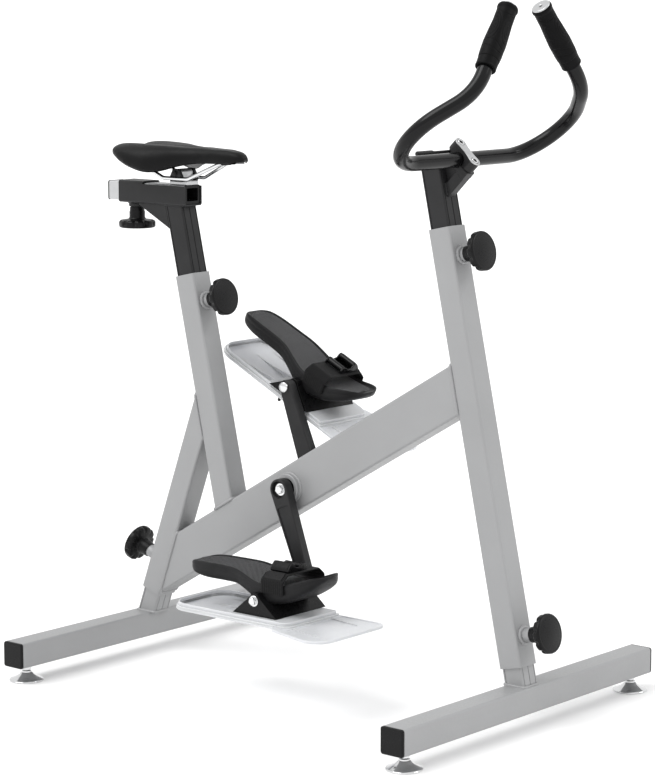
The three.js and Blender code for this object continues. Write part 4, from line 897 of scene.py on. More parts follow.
def knob_shape():
    """A scalloped hand knob with a plain domed face, along Z from the end of its boss."""
    sides = 120
    skirt = BOSS_RADIUS + 0.0004
    hub = [(skirt, 0.0004), (skirt, -0.0085), (0.0126, -0.0088), (0.0132, -0.0082), (0.0135, -0.002),
           (0.0142, -0.001), (0.0142, 0.0095), (0.0165, 0.0128)]
    rim = [(0.024, 0.0136, 0.5), (0.0292, 0.0144, 0.8), (0.0316, 0.0158, 1), (KNOB_RADIUS, 0.0182, 1),
           (KNOB_RADIUS, 0.0212, 0.8), (KNOB_RADIUS, 0.0236, 0.25), (KNOB_RADIUS, 0.0252, 0),
           (0.0325, 0.0268, 0), (0.0312, 0.0278, 0), (0.0296, 0.0282, 0), (0.0286, 0.0279, 0),
           (0.0278, 0.0281, 0), (0.02, 0.029, 0), (0.01, 0.0297, 0)]
    rings = [[Vector((0, 0, 0.0004))]]
    rings += [circle(radius, height, sides) for radius, height in hub]
    rings += [knob_ring(*row, sides) for row in rim]
    rings.append([Vector((0, 0, 0.0299))])
    return together(loft(rings, capped=False), rod(0.005, -0.02, 0.001, 24))


def build_knobs():
    nodes = {
        "bar_height_knob": "knob_handlebar_height",
        "front_leg_knob": "knob_front_leg",
        "rear_leg_knob": "knob_rear_leg",
        "seat_height_knob": "knob_seat_height",
        "saddle_slide_knob": "knob_saddle_slide",
    }
    for body, node in nodes.items():
        place = pointing(place_of(body + "_turn"), axis_of(body + "_turn"))
        make(node + "_shape", knob_shape(), place, MOULDED, body, node, sharp=50)


# Handlebar, its post, stem, clamp and lever

def build_bar_post():
    post = extruded(grooved_outline(PROFILE, PROFILE_CORNER), level(POST_LOW), level(POST_TOP), PROFILE_WALL)
    steps = ((0.985, -0.004), (0.985, 0.0006), (0.94, 0.0018), (0.8, 0.0024))
    lid = loft([[Vector((p.x * share, p.y * share, POST_TOP + height)) for p in PROFILE_OUTLINE]
                for share, height in steps])
    make("bar_post_profile", together(post, lid), COLUMN, SATIN, "post", "handlebar_post", sharp=30)


def build_stem():
    """The rear half of the clamp, carried by an arm and a gusset on the post's front face."""
    point, normal = front = local_plane(COLUMN, 0, PROFILE / 2, STEM)
    half_width = CLAMP_WIDTH / 2
    arm_half = ARM_THICKNESS / 2
    arm_top = ARM_THICKNESS - CLAMP_HALF
    back = softened(block((-CLAMP_BACK, -half_width, -CLAMP_HALF), (-GAP, half_width, CLAMP_RISE)), 0.002)
    back = carved(back, moved(rod(BAR_RADIUS + GAP, -CLAMP_HALF, CLAMP_HALF), ALONG_Y))
    arm = block((-ARM_REACH, -arm_half, -CLAMP_HALF), (-ARM_END, arm_half, arm_top))
    arm = softened(clipped(arm, front), 0.0015)
    plate = block((-ARM_REACH, -0.003, arm_half - CLAMP_HALF), (-ARM_END, 0.003, CLAMP_RISE))
    plate = softened(clipped(plate, front), 0.0006)
    low = ARM_CORNER - CLAMP_HALF
    outline = rounded_outline([(-arm_half, low, ARM_CORNER), (arm_half, low, ARM_CORNER),
                               (arm_half, arm_top, ARM_CORNER), (-arm_half, arm_top, ARM_CORNER)])
    loop = [Vector((0, y, z)) for y, z in outline]
    bead = weld([p - Vector((normal.dot(p - point) / normal.x, 0, 0)) for p in loop], STEM_WELD_RADIUS)
    make("stem_block", together(back, arm, plate, bead), STEM, SATIN, "post", "handlebar_stem")


def waisted_outline(half_length, half_width, waist):
    """A stadium drawn in X and Y whose middle draws in to a waist."""
    points = []
    straight = half_length - half_width
    for end in (1, -1):
        for i in range(17):
            x, y = polar(half_width, math.pi * i / 16)
            points.append((end * x, end * (straight + y)))
        for t in np.linspace(-0.9, 0.9, 9):
            pinch = waist + (half_width - waist) * t * t
            points.append((-end * pinch, -end * t * straight))
    return points


def clamp_layer(low, high, edge):
    """One layer of the clamp's front half, which lies forward of the handlebar."""
    layer = softened(slab(waisted_outline(CLAMP_HALF, CLAMP_WIDTH / 2, 0.0086), low, high), edge)
    return moved(moved(layer, QUARTER), ALONG_X)


def clamp_rods(radius, low, high):
    """A rod for each of the clamp's two bolts."""
    return [moved(rod(radius, low, high), ALONG_X, z=z) for z in (BOLT_REACH, -BOLT_REACH)]


def build_clamp():
    bore = moved(rod(BAR_RADIUS + GAP, -CLAMP_HALF, CLAMP_HALF), ALONG_Y)
    sockets = clamp_rods(0.0033, CAP_DEPTH - 0.004, CAP_DEPTH - 0.0018)
    cap = carved(clamp_layer(GAP, CAP_DEPTH - CAP_FACE, 0.0008), bore)
    make("clamp_cap_body", together(cap, *sockets), STEM, SATIN, "post", "stem_clamp_cap")
    seats = clamp_rods(0.0068, CAP_DEPTH - 0.004, CAP_DEPTH + 0.01)
    face = carved(clamp_layer(CAP_DEPTH - CAP_FACE, CAP_DEPTH, 0.0007), *seats)
    make("clamp_cap_face", face, STEM, ALUMINIUM, "post")
    head = [(0.0035, -0.0045), (0.0062, -0.004), (0.0062, 0.0002), (0.0057, 0.0008), (0.0039, 0.0008),
            (0.0036, 0.0004), (0.0036, -0.0038), (0, -0.0042)]
    profile = [(0, -0.006), (0.0035, -0.006)] + [(radius, CAP_DEPTH + height) for radius, height in head]
    for z, tag in ((BOLT_REACH, "upper"), (-BOLT_REACH, "lower")):
        bolt = moved(turned(profile, 36), ALONG_X, z=z)
        make(f"clamp_bolt_{tag}_head", bolt, STEM, CHROME, "post", f"clamp_bolt_{tag}")


def build_lever():
    nut = moved(softened(rod(0.007, -0.0113, -GAP), 0.0004), ALONG_X, z=BOLT_REACH)
    profile = [(0, -0.0925), (0.0032, -0.0922), (0.0042, -0.0905), (0.0042, -0.054), (0.0036, -0.0505),
               (0.0027, -0.05), (0, -0.05)]
    arm = together(rod(0.0026, -0.092, -0.0035, 24), turned(profile, 32))
    arm = moved(arm, ALONG_Y, x=-GAP - 0.0042, z=BOLT_REACH + 0.0026)
    make("lever_shape", together(nut, arm), STEM, SATIN, "lever", "clamp_lever")


def bar_corners(side):
    return [(GRIP_END[0], side * GRIP_END[1], GRIP_END[2]), (HORN[0], side * HORN[1], HORN[2]),
            (0, side * BAR_CORNER_SPAN, 0)]


def grip_groove(t, angle):
    """How deep the engraved lines are at a share of the grip's length, from 0 to 1."""
    bands = ((0.14, 0.03, 2), (0.66, 0.05, 2), (0.74, 0.03, 2), (0.865, 0, 0))
    away = [(t - place - sway * math.cos(lobes * angle + place * 9)) * GRIP_LENGTH
            for place, sway, lobes in bands]
    sector = (angle + math.pi / 4) % (math.pi / 2) - math.pi / 4
    oval = math.hypot((t - 0.4) / 0.22, sector / 0.62)
    away += [(oval - size) * 0.016 for size in (1.0, 0.66, 0.36)]
    fade = min(1.0, max(0.0, (t - 0.09) / 0.03)) * min(1.0, max(0.0, (0.9 - t) / 0.02))
    return fade * max(math.exp(-(d / GRIP_GROOVE) ** 2) for d in away)


def grip_shape():
    """A moulded grip about Z, its outer end at the origin: a belly, end rings and engraved flowing lines."""
    stations = 230
    sides = 120
    shares = [0, 0.02, 0.035, 0.05, 0.07, 0.25, 0.42, 0.6, 0.78, 0.86, 0.875, 0.965, 0.985, 1]
    radii = [0.0168, 0.0173, 0.0173, 0.0168, 0.0161, 0.0162, 0.0176, 0.0188, 0.0184, 0.0176, 0.0171, 0.0169,
             0.0173, 0.0168]
    rings = [circle(BAR_RADIUS + GAP, -GRIP_LENGTH, sides)]
    for row in range(stations + 1):
        t = 1 - row / stations
        radius = float(np.interp(t, shares, radii))
        ring = []
        for i in range(sides):
            angle = TURN * i / sides
            r = radius - GRIP_GROOVE * grip_groove(t, angle)
            ring.append(Vector((*polar(r, angle), -t * GRIP_LENGTH)))
        rings.append(ring)
    rings.append(circle(BAR_RADIUS + GAP, 0, sides))
    return loft(rings, cyclic=True, capped=False)


def build_handlebar():
    corners = bar_corners(-1) + bar_corners(1)[::-1]
    path = even_path(bent_path(corners, [HORN_BEND, CORNER_BEND, CORNER_BEND, HORN_BEND]), 0.004)
    make("handlebar_tube", swept(path, round_section(BAR_RADIUS, 40)), BAR, GLOSS, "bar", "handlebar")
    profile = [(0, -0.01), (0.009, -0.01), (0.009, GAP), (0.015, GAP), (0.0156, 0.0009), (0.0156, 0.0018),
               (0.0148, 0.0029), (0.0135, 0.0033), (0.0045, 0.0033), (0.0036, 0.0029), (0.0028, 0.0022),
               (0.0024, 0.0012), (0.0024, -0.008), (0, -0.008)]
    for side, hand in SIDES:
        end, corner = [Vector(point) for point in bar_corners(side)[:2]]
        place = BAR @ pointing(end, (end - corner).normalized())
        make(f"grip_{hand}_sleeve", grip_shape(), place, RUBBER, "bar", f"grip_{hand}", sharp=60)
        make(f"grip_plug_{hand}", turned(profile, 56), place, ALUMINIUM, "bar", f"bar_plug_{hand}")


# Seat post, sleeve, slider and carriage

def build_seat_post():
    underside = local_plane(SLEEVE, 2, -SLEEVE_HEIGHT / 2, SEAT)
    post = extruded(grooved_outline(PROFILE, PROFILE_CORNER), level(SEAT_POST_LOW), underside, PROFILE_WALL)
    bead = weld(cut_loop(PROFILE_OUTLINE, underside), SEAT_WELD_RADIUS)
    make("seat_post_profile", together(post, bead), SEAT, SATIN, "seat_mast", "seat_post", sharp=30)


def gusset_shape(top):
    """A wedge that runs from the sleeve's underside down the back of the seat post."""
    point, normal = local_plane(SEAT, 0, -PROFILE / 2, SLEEVE)

    def face_at(height):
        return point.x - (height - point.z) * normal.z / normal.x

    low = -SLEEVE_HEIGHT / 2 - GUSSET_DROP
    rear = face_at(top) - GUSSET_REACH
    outline = [(rear, top), (rear, top - 0.0035), (face_at(low), low), (face_at(top), top)]
    return softened(upright(outline, PROFILE - 0.002), 0.0008)


def build_sleeve():
    half = SLEEVE_LENGTH / 2
    outer = rounded_rectangle(SLEEVE_HEIGHT, TUBE, CORNER)
    sleeve = moved(extruded(outer, level(-half), level(half), WALL), ALONG_X)
    step = SLEEVE_HEIGHT / 2 - SLEEVE_STEP
    opening = block((half - SLEEVE_OPEN, -TUBE, step), (half + 0.01, TUBE, SLEEVE_HEIGHT))
    sleeve = softened(carved(sleeve, opening), 0.0007, angle=50, segments=2)
    top = -SLEEVE_HEIGHT / 2 + 0.001
    hub = -SLEEVE_HEIGHT / 2 - SLIDER_BOSS
    profile = [(0, top), (0.017, top), (0.017, top - 0.002), (0.015, top - 0.0035), (0.015, hub + 0.0115),
               (0.0142, hub + 0.0105), (BOSS_RADIUS, hub + 0.0095), (BOSS_RADIUS, hub + 0.0008),
               (BOSS_RADIUS - 0.0007, hub), (0, hub)]
    knob_x = (SLEEVE.inverted() @ place_of("saddle_slide_knob_turn")).x
    shape = together(sleeve, gusset_shape(top), moved(turned(profile), x=knob_x))
    make("seat_sleeve_shape", shape, SLEEVE, SATIN, "seat_mast", "seat_sleeve")


def lengthwise_tube(width, corner, low, high, wall, narrower=0.0):
    """A tube along the slider, as wide as the slider or narrower."""
    outline = rounded_rectangle(width - narrower, PROFILE - narrower, corner)
    return moved(extruded(outline, level(low), level(high), wall), ALONG_X)


def build_slider():
    half = SLEEVE_LENGTH / 2
    rear = -half - SLIDER_OUT
    front = half - SLIDER_RECESS
    slider = softened(lengthwise_tube(SLIDER_HEIGHT, SLIDER_CORNER, rear, front, 0.0035), 0.0005, 60, 2)
    make("slider_tube", slider, SLEEVE, ALUMINIUM, "slider", "saddle_slider")
    rim = lengthwise_tube(SLIDER_HEIGHT, SLIDER_CORNER, front + 0.0001, front + 0.002, 0.0052)
    plug = lengthwise_tube(SLIDER_HEIGHT, 0.002, front - 0.03, front + 0.0018, 0.0016, narrower=0.0076)
    side = PROFILE / 2 - 0.0045
    height = SLIDER_HEIGHT / 2 - 0.0045
    stop = block((front - 0.029, -side, -height), (front - 0.026, side, height))
    make("slider_front_insert", together(rim, plug, stop), SLEEVE, MOULDED, "slider")
    rows = ((0.012, 0.0042), (0, 0.0042), (0, -0.0006), (-0.0012, -0.0006), (-0.0024, 0.0002),
            (-0.003, 0.0018))
    cap = moved(stepped_cap(SLIDER_HEIGHT, PROFILE, SLIDER_CORNER, 0.3, rear - GAP, rows), ALONG_X)
    make("slider_cap_shape", cap, SLEEVE, MOULDED, "slider", "slider_end_cap")


def build_carriage():
    """A plate on the slider with a round-topped ridge for the saddle's clamp."""
    clamp = SLEEVE.inverted() @ SADDLE.translation
    base = SLIDER_HEIGHT / 2 + GAP
    top = base + 0.007
    half_length, half_width, radius = 0.021, 0.015, 0.008
    plate = block((clamp.x - half_length, -half_width, base), (clamp.x + half_length, half_width, top))
    ridge = [(clamp.x - radius, top - 0.001), (clamp.x + radius, top - 0.001)]
    for angle in np.linspace(0, math.pi, 15):
        x, z = polar(radius, angle)
        ridge.append((clamp.x + x, clamp.z + z))
    ridge = softened(upright(ridge, 2 * half_width), 0.0008)
    shape = together(softened(plate, 0.0012), ridge)
    make("carriage_shape", shape, SLEEVE, ALUMINIUM, "slider", "saddle_carriage")


# Saddle: rails, clamp, shell and padded cover

# Place along, half width, height of the crown, depth of the skirt and depth of the channel
SADDLE_SHARES = [
    (0, 0.56, 0.8, 0.16, 0.3),
    (0.012, 0.7, 0.85, 0.26, 0.45),
    (0.035, 0.82, 0.91, 0.37, 0.65),
    (0.075, 0.9, 0.96, 0.5, 0.85),
    (0.13, 0.96, 0.99, 0.66, 1),
    (0.2, 0.985, 1, 0.8, 1),
    (0.32, 0.95, 0.99, 0.93, 1),
    (0.42, 0.8, 0.96, 0.87, 0.9),
    (0.52, 0.58, 0.91, 0.67, 0.7),
    (0.62, 0.42, 0.88, 0.54, 0.5),
    (0.75, 0.34, 0.87, 0.5, 0.3),
    (0.87, 0.3, 0.85, 0.48, 0.15),
    (0.95, 0.24, 0.77, 0.38, 0),
    (0.985, 0.17, 0.67, 0.26, 0),
    (1, 0.1, 0.58, 0.16, 0),
]


def saddle_stations(count):
    for along, half, crown, skirt, channel in smooth_rows(SADDLE_SHARES, count):
        yield (along, half * SADDLE_WIDTH / 2, SADDLE_CROWN - SADDLE_DEPTH + crown * SADDLE_DEPTH,
               skirt * SADDLE_DEPTH, channel * CHANNEL_DEPTH)


def saddle_place(along, y):
    """Forward place of a point: the rear edge is notched between the two lobes."""
    notch = REAR_NOTCH * max(0.0, 1 - along / 0.2) ** 2 * math.exp(-(y / 0.021) ** 2)
    return along * SADDLE_LENGTH - SADDLE_REAR + notch


def channel_dip(y, half, channel):
    return max(1 - (y / (half * 0.62)) ** 2, 0) ** 2 * channel


def arch(station, share, drop=0.0):
    """A point of the padding's underside at a share of its half width."""
    along, half, crown, skirt, channel = station
    edge = min(0.01, half / 3)
    end = max(0.0, 1 - min(along, 1 - along) / 0.035)
    pad = min(0.015, skirt / 2)
    pad += (skirt - pad) * end
    y = share * (half - edge)
    z = crown - pad - (skirt - pad) * share ** 2 - channel_dip(y, half, channel) * 0.6 - drop
    return Vector((saddle_place(along, y), y, z))


def cover_ring(station):
    """One section of the padded cover, drawn in a little to leave room for the padding to swell."""
    inset = 0.0016
    along, half, crown, skirt, channel = station
    tuck = math.radians(46)
    sweep = math.pi + 2 * tuck
    rise = SADDLE_LIP * 0.4
    ring = []
    for i in range(49):
        angle = -tuck + sweep * i / 48
        across = math.cos(angle)
        up = math.sin(angle)
        y = (half - inset) * math.copysign(abs(across) ** 0.68, across)
        dome = max(up, 0) ** 0.7 * (skirt - inset)
        under = min(up, 0) * min(SADDLE_LIP, skirt / 2)
        z = crown - skirt + rise + dome * (1 - rise / skirt) + under
        z -= channel_dip(y, half, channel)
        ring.append(Vector((saddle_place(along, y), y, z)))
    return ring + [arch(station, share) for share in np.linspace(-1, 1, 17)]


def puffed(piece, cap):
    """Air pressure inside the cover, with the underside held, and no point moving further than the cap."""
    scene = bpy.context.scene
    start = np.array([v.co for v in piece.data.vertices])
    held = piece.vertex_groups.new(name="held")
    held.add([v.index for v in piece.data.vertices if v.normal.z < -0.3], 1.0, "REPLACE")
    modifier = piece.modifiers.new("cloth", "CLOTH")
    settings = modifier.settings
    settings.vertex_group_mass = "held"
    settings.use_pressure = True
    settings.uniform_pressure_force = 4.0
    settings.tension_stiffness = 40
    settings.compression_stiffness = 40
    settings.bending_stiffness = 8
    settings.effector_weights.gravity = 0
    settings.quality = 6
    for number in range(1, 21):
        scene.frame_set(number)
    graph = bpy.context.evaluated_depsgraph_get()
    swollen = np.array([v.co for v in piece.evaluated_get(graph).to_mesh().vertices])
    piece.modifiers.remove(modifier)
    scene.frame_set(1)
    move = swollen - start
    length = np.linalg.norm(move, axis=1, keepdims=True)
    move *= np.minimum(1, cap / np.maximum(length, 1e-9))
    piece.data.vertices.foreach_set("co", (start + move).ravel())
    piece.data.update()


def remeshed(piece, voxel):
    modifier = piece.modifiers.new("remesh", "REMESH")
    modifier.mode = "VOXEL"
    modifier.voxel_size = voxel
    graph = bpy.context.evaluated_depsgraph_get()
    mesh = bpy.data.meshes.new_from_object(piece.evaluated_get(graph))
    piece.modifiers.remove(modifier)
    old = piece.data
    piece.data = mesh
    bpy.data.meshes.remove(old)


def refined(piece):
    """One subdivision on top of the modelled mesh."""
    fine = piece.modifiers.new("fine", "SUBSURF")
    fine.levels = 1
    fine.render_levels = 1


def build_saddle_cover():
    rings = [cover_ring(station) for station in saddle_stations(70)]
    cover = linked("saddle_pad", moved(loft(rings), SADDLE), SKIN)
    remeshed(cover, PAD_VOXEL)
    puffed(cover, PAD_SWELL)
    cover.data.materials.clear()
    cover.data.materials.append(SKIN.material)
    relax = cover.modifiers.new("relax", "SMOOTH")
    relax.factor = 0.5
    relax.iterations = 5
    refined(cover)
    cover.data.shade_smooth()
    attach(cover, "saddle")
    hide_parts("saddle_cover")


def build_saddle_shell():
    shares = np.linspace(-1, 1, 21)
    rings = []
    for station in list(saddle_stations(64))[2:-9]:
        top = [arch(station, share, 0.0008) for share in shares]
        bottom = [arch(station, share, 0.0045 - 0.0032 * share ** 4) for share in reversed(shares)]
        rings.append(top + bottom)
    sockets = []
    for side in (1, -1):
        socket = turned([(0, 0.016), (0.0066, 0.016), (0.0072, 0.017), (0.0078, 0.034), (0, 0.034)], 32)
        sockets.append(moved(socket, x=RAIL_REAR, y=side * RAIL_HALF))
    nose = softened(block((0.084, -0.0105, 0.0175), (0.106, 0.0105, 0.034)), 0.002)
    shape = together(loft(rings), *sockets, nose)
    make("saddle_shell_arch", shape, SADDLE, MOULDED, "saddle", "saddle_shell")


def rail_side(side):
    """The corners of one rail, from its socket in the shell to the nose."""
    rear = side * RAIL_HALF
    middle = side * 0.022
    return [(RAIL_REAR, rear, 0.027), (RAIL_REAR, rear, 0.011), (-0.03, middle, -0.009),
            (0.03, middle, -0.009), (0.098, side * 0.01, 0.021)]


def build_rails():
    bends = [0.014, 0.014, 0.014, 0.008, 0.008, 0.014, 0.014, 0.014]
    path = even_path(bent_path(rail_side(1) + rail_side(-1)[::-1], bends, 0.002), 0.002)
    wire = swept(path, round_section(RAIL_RADIUS, 24))
    make("saddle_rail_wire", wire, SADDLE, CHROME, "saddle", "saddle_rails")


def build_saddle_clamp():
    outline = [(-0.014, -0.015), (0.014, -0.015), (0.014, -0.005), (0.007, 0.008), (-0.007, 0.008),
               (-0.014, -0.005)]
    jaws = [moved(softened(upright(outline, 0.007), 0.0014), y=side * 0.0188) for side in (1, -1)]
    make("saddle_jaws", together(*jaws), SADDLE, SATIN, "saddle", "saddle_clamp")
    for side, hand in SIDES:
        washer = rod(0.0052, 0.0222, 0.0234, 32, 0.0003)
        nut = together(hex_nut(0.0046, 0.0232, 0.0268, 0.0004), washer, rod(0.0026, 0, 0.0278, 24))
        make(f"jaw_nut_{hand}", moved(nut, ALONG_Y), SADDLE, SATIN, "saddle", side=side)


# Cranks

def arm_outline():
    """The crank's round ends joined by straight sides, in X and Z."""
    steps = 20
    lean = math.asin((HUB_RADIUS - END_RADIUS) / CRANK_LENGTH)
    arcs = ((END_RADIUS, CRANK_LENGTH, lean, math.pi - lean), (HUB_RADIUS, 0, math.pi - lean, TURN + lean))
    points = []
    for radius, at, first, last in arcs:
        for i in range(steps):
            x, z = polar(radius, first + (last - first) * i / (steps - 1))
            points.append((x, at + z))
    return points


def crank_arm():
    """A tapering arm with a sunk panel along its face and a round recess for the bolt."""
    thickness = CRANK_OUTER - CRANK_INNER
    arm = softened(moved(upright(arm_outline(), thickness), y=CRANK_INNER + thickness / 2), 0.0022)
    slope = (HUB_RADIUS - END_RADIUS) / CRANK_LENGTH
    start, end, corner = 0.03, 0.152, 0.003
    near, far = [HUB_RADIUS - slope * z - PANEL_INSET for z in (start, end)]
    panel = upright(rounded_outline([(-near, start, corner), (near, start, corner), (far, end, corner),
                                     (-far, end, corner)], 4), 0.003)
    rim = RECESS_RADIUS + 0.0012
    recess = turned([(0, -RECESS_DEPTH), (RECESS_RADIUS - 0.0006, -RECESS_DEPTH),
                     (RECESS_RADIUS, -RECESS_DEPTH + 0.0006), (RECESS_RADIUS, -0.0012), (rim, 0.0006),
                     (rim, 0.004), (0, 0.004)])
    return carved(arm, moved(panel, y=CRANK_OUTER), moved(recess, ALONG_Y, y=CRANK_OUTER))


def crank_bolt():
    seat = CRANK_OUTER - RECESS_DEPTH + GAP
    head = hex_nut(0.0083, seat + 0.001, seat + 0.0064, 0.0007)
    dome = turned([(0, seat + 0.006), (0.0066, seat + 0.0062), (0.0062, seat + 0.0069),
                   (0, seat + 0.0072)], 32)
    return moved(together(head, dome, rod(0.011, seat, seat + 0.0015, 40, 0.0004)), ALONG_Y)


def build_cranks():
    for side, hand in SIDES:
        arm = crank_arm()
        if side < 0:
            moved(arm, Matrix.Rotation(math.pi, 4, "Y"))
        make(f"crank_arm_{hand}", arm, CRANK, SATIN, "crank", f"crank_{hand}", side=side)
        make(f"crank_bolt_{hand}_head", crank_bolt(), CRANK, CHROME, "crank", f"crank_bolt_{hand}", side=side)


# Pedals

# Place along, half width, underside, top edge and how far the foot's floor lies below that edge
FOOTBED_SHARES = [
    (0, 0.12, 0.56, 0.7, 0),
    (0.006, 0.3, 0.51, 0.745, 0),
    (0.02, 0.47, 0.45, 0.785, 0.015),
    (0.06, 0.63, 0.35, 0.84, 0.05),
    (0.15, 0.71, 0.28, 0.87, 0.055),
    (0.3, 0.72, 0.28, 0.88, 0.055),
    (0.4, 0.78, 0.27, 0.85, 0.055),
    (0.48, 0.87, 0.13, 0.74, 0.06),
    (0.57, 0.96, -0.08, 0.6, 0.07),
    (0.68, 1, -0.18, 0.55, 0.08),
    (0.8, 0.98, -0.02, 0.64, 0.1),
    (0.89, 0.89, 0.26, 0.82, 0.14),
    (0.945, 0.74, 0.48, 0.93, 0.14),
    (0.975, 0.54, 0.66, 0.96, 0.07),
    (0.992, 0.34, 0.78, 0.95, 0),
    (1, 0.12, 0.86, 0.92, 0),
]
LINING_START = 0.028
LINING_END = 0.955


def footbed_measures(row):
    along, half, low, high, sink = row
    return (along * FOOTBED_LENGTH - FOOTBED_HEEL, half * FOOTBED_WIDTH / 2, low * FOOTBED_HEIGHT,
            high * FOOTBED_HEIGHT, sink * FOOTBED_HEIGHT)


def footbed_ring(row):
    """One section of the footbed: squarish sides, a crease, a soft rim and the shallow foot's floor."""
    x, half, low, high, sink = footbed_measures(row)
    rim = min(FOOTBED_RIM, half / 3)
    depth = high - low
    crease = min(0.0009, half / 20)
    side = [(0.84, 0.05), (0.95, 0.18), (0.985, 0.4), (0.99, 0.58), (1 - crease / half, 0.63), (0.99, 0.68),
            (1, 0.82)]
    edge = [(0.12, high - rim * 0.25), (0.45, high), (0.8, high - sink * 0.3), (1, high - sink * 0.75),
            (1.25, high - sink)]
    right = [(half * 0.55, low)] + [(half * share, low + depth * up) for share, up in side]
    right += [(half - rim * share, z) for share, z in edge] + [(half * 0.4, high - sink)]
    left = [(-y, z) for y, z in reversed(right)]
    return [Vector((x, y, z)) for y, z in [(0, low), *right, (0, high - sink), *left]]


def footbed_shape():
    rings = [footbed_ring(row) for row in smooth_rows(FOOTBED_SHARES, 92)]
    return moved(loft(rings), y=FOOTBED_MIDDLE)


def lining_shape():
    """The meshed sheet on the foot's floor, with its own flat coordinates for the mesh."""
    shares = np.linspace(-1, 1, 17)
    bm = bmesh.new()
    grid = []
    for row in smooth_rows(FOOTBED_SHARES, 120):
        if not LINING_START < row[0] < LINING_END:
            continue
        x, half, _, high, sink = footbed_measures(row)
        ends = min((row[0] - LINING_START) / 0.06, (LINING_END - row[0]) / 0.07, 1)
        width = (half - min(FOOTBED_RIM, half / 3) * 1.05) * max(math.sqrt(1 - (1 - ends) ** 2), 0.08)
        floor = high - sink + 0.0019
        points = [(x, share * width, floor - 0.0016 * abs(share) ** 4) for share in shares]
        grid.append([bm.verts.new(point) for point in points])
    for first, second in zip(grid, grid[1:]):
        for i in range(len(shares) - 1):
            bm.faces.new((first[i], first[i + 1], second[i + 1], second[i]))
    bmesh.ops.solidify(bm, geom=bm.faces[:], thickness=0.0012)
    layer = bm.loops.layers.uv.new("UVMap")
    for face in bm.faces:
        for loop in face.loops:
            loop[layer].uv = (loop.vert.co.x, loop.vert.co.y)
    return moved(bm, y=FOOTBED_MIDDLE)


def strap_path():
    half = FOOTBED_WIDTH / 2 + STRAP_THICKNESS / 2 + GAP
    top = STRAP_TOP - STRAP_THICKNESS / 2
    right = [(0, half - STRAP_SHOULDER, top), (0, half, top - STRAP_DROP), (0, half, STRAP_BOTTOM)]
    left = [(x, -y, z) for x, y, z in reversed(right)]
    return even_path(bent_path(left + right, [STRAP_BEND] * 4, 0.001), 0.002)


def strap_ring(point, out, travel):
    """One section of the strap, as points with their flat coordinates, ribbed on the outer face."""
    ribs = 12
    across = np.linspace(-0.5, 0.5, ribs * 4 + 1)
    ring = []
    for face, shares in ((1, across), (-1, across[::-1])):
        for s in shares:
            edge = 1 - max(0.0, abs(s) * 2 - 0.94) / 0.06 * 0.7
            rise = STRAP_THICKNESS / 2 * edge
            if face > 0:
                rise += 0.00022 * math.cos(s * ribs * TURN) * edge
            place = point + out * (face * rise) + Vector((s * STRAP_WIDTH, 0, 0))
            ring.append((place, s * STRAP_WIDTH, travel))
    return ring


def strap_shape():
    """Webbing over the foot, with its own flat coordinates for the weave."""
    path = strap_path()
    bm = bmesh.new()
    layer = bm.loops.layers.uv.new("UVMap")
    rings, travel = [], 0.0
    for i, point in enumerate(path):
        after, before = path[min(i + 1, len(path) - 1)], path[max(i - 1, 0)]
        tangent = (after - before).normalized()
        out = Vector((0, tangent.z, -tangent.y))
        out = out if out.dot(point - Vector((0, 0, 0.02))) > 0 else -out
        travel += (point - before).length if i else 0
        rings.append([(bm.verts.new(co), u, v) for co, u, v in strap_ring(point, out, travel)])
    for first, second in zip(rings, rings[1:]):
        for i in range(len(first)):
            j = (i + 1) % len(first)
            corners = (first[i], first[j], second[j], second[i])
            face = bm.faces.new([corner[0] for corner in corners])
            for loop, corner in zip(face.loops, corners):
                loop[layer].uv = corner[1:]
    for ring in (rings[0], rings[-1]):
        bm.faces.new([corner[0] for corner in ring])
    return moved(bm, x=STRAP_MIDDLE, y=FOOTBED_MIDDLE)


def buckle_shape():
    """A cam buckle: two humped cheeks, a rounded bar at the inner end and a leaning lever over the hinge."""
    half = BUCKLE_WIDTH / 2
    inner = -BUCKLE_LENGTH + 0.007
    between = BUCKLE_WIDTH - 0.007
    cheek = [(-BUCKLE_LENGTH - 0.001, 0.0005), (0.0005, 0.0005), (0.0032, 0.0028), (0.0026, 0.0058),
             (-0.0012, 0.0112), (-0.0065, 0.0164), (-0.0095, 0.0168), (-0.0135, 0.0148), (-0.017, 0.0085),
             (-0.026, 0.0065), (-0.031, 0.0105), (inner, 0.0125), (inner - 0.006, 0.0105),
             (-BUCKLE_LENGTH - 0.0015, 0.006)]
    cheeks = [moved(softened(upright(cheek, 0.003), 0.0008), y=side * (half - 0.0015)) for side in (1, -1)]
    lever = [(0.0005, 0.0008), (0.0033, 0.0028), (0.0027, 0.0062), (-0.0008, 0.0116), (-0.0062, 0.0168),
             (-0.0105, 0.017), (-0.0085, 0.0128), (-0.003, 0.0078)]
    lever = softened(upright(lever, between), 0.0008)
    base = [(-BUCKLE_LENGTH, 0.0006), (0, 0.0006), (0, 0.0022), (-BUCKLE_LENGTH, 0.0022)]
    base = softened(upright(base, between), 0.0004)
    reach = half - 0.003
    bars = [moved(rod(radius, -reach, reach, 32), ALONG_Y, x=x, z=z)
            for radius, x, z in ((0.0058, inner, 0.0064), (0.0046, -0.0095, 0.0124), (0.0032, 0, 0.0036))]
    pins = []
    for side in (1, -1):
        for x, z in ((inner, 0.0064), (-0.0005, 0.004)):
            pin = moved(rod(0.0019, half - 0.001, half + 0.0008, 20, 0.0003), ALONG_Y, x=x, z=z)
            pins.append(pin if side > 0 else mirrored(pin))
    return moved(together(base, lever, *cheeks, *bars, *pins), QUARTER)


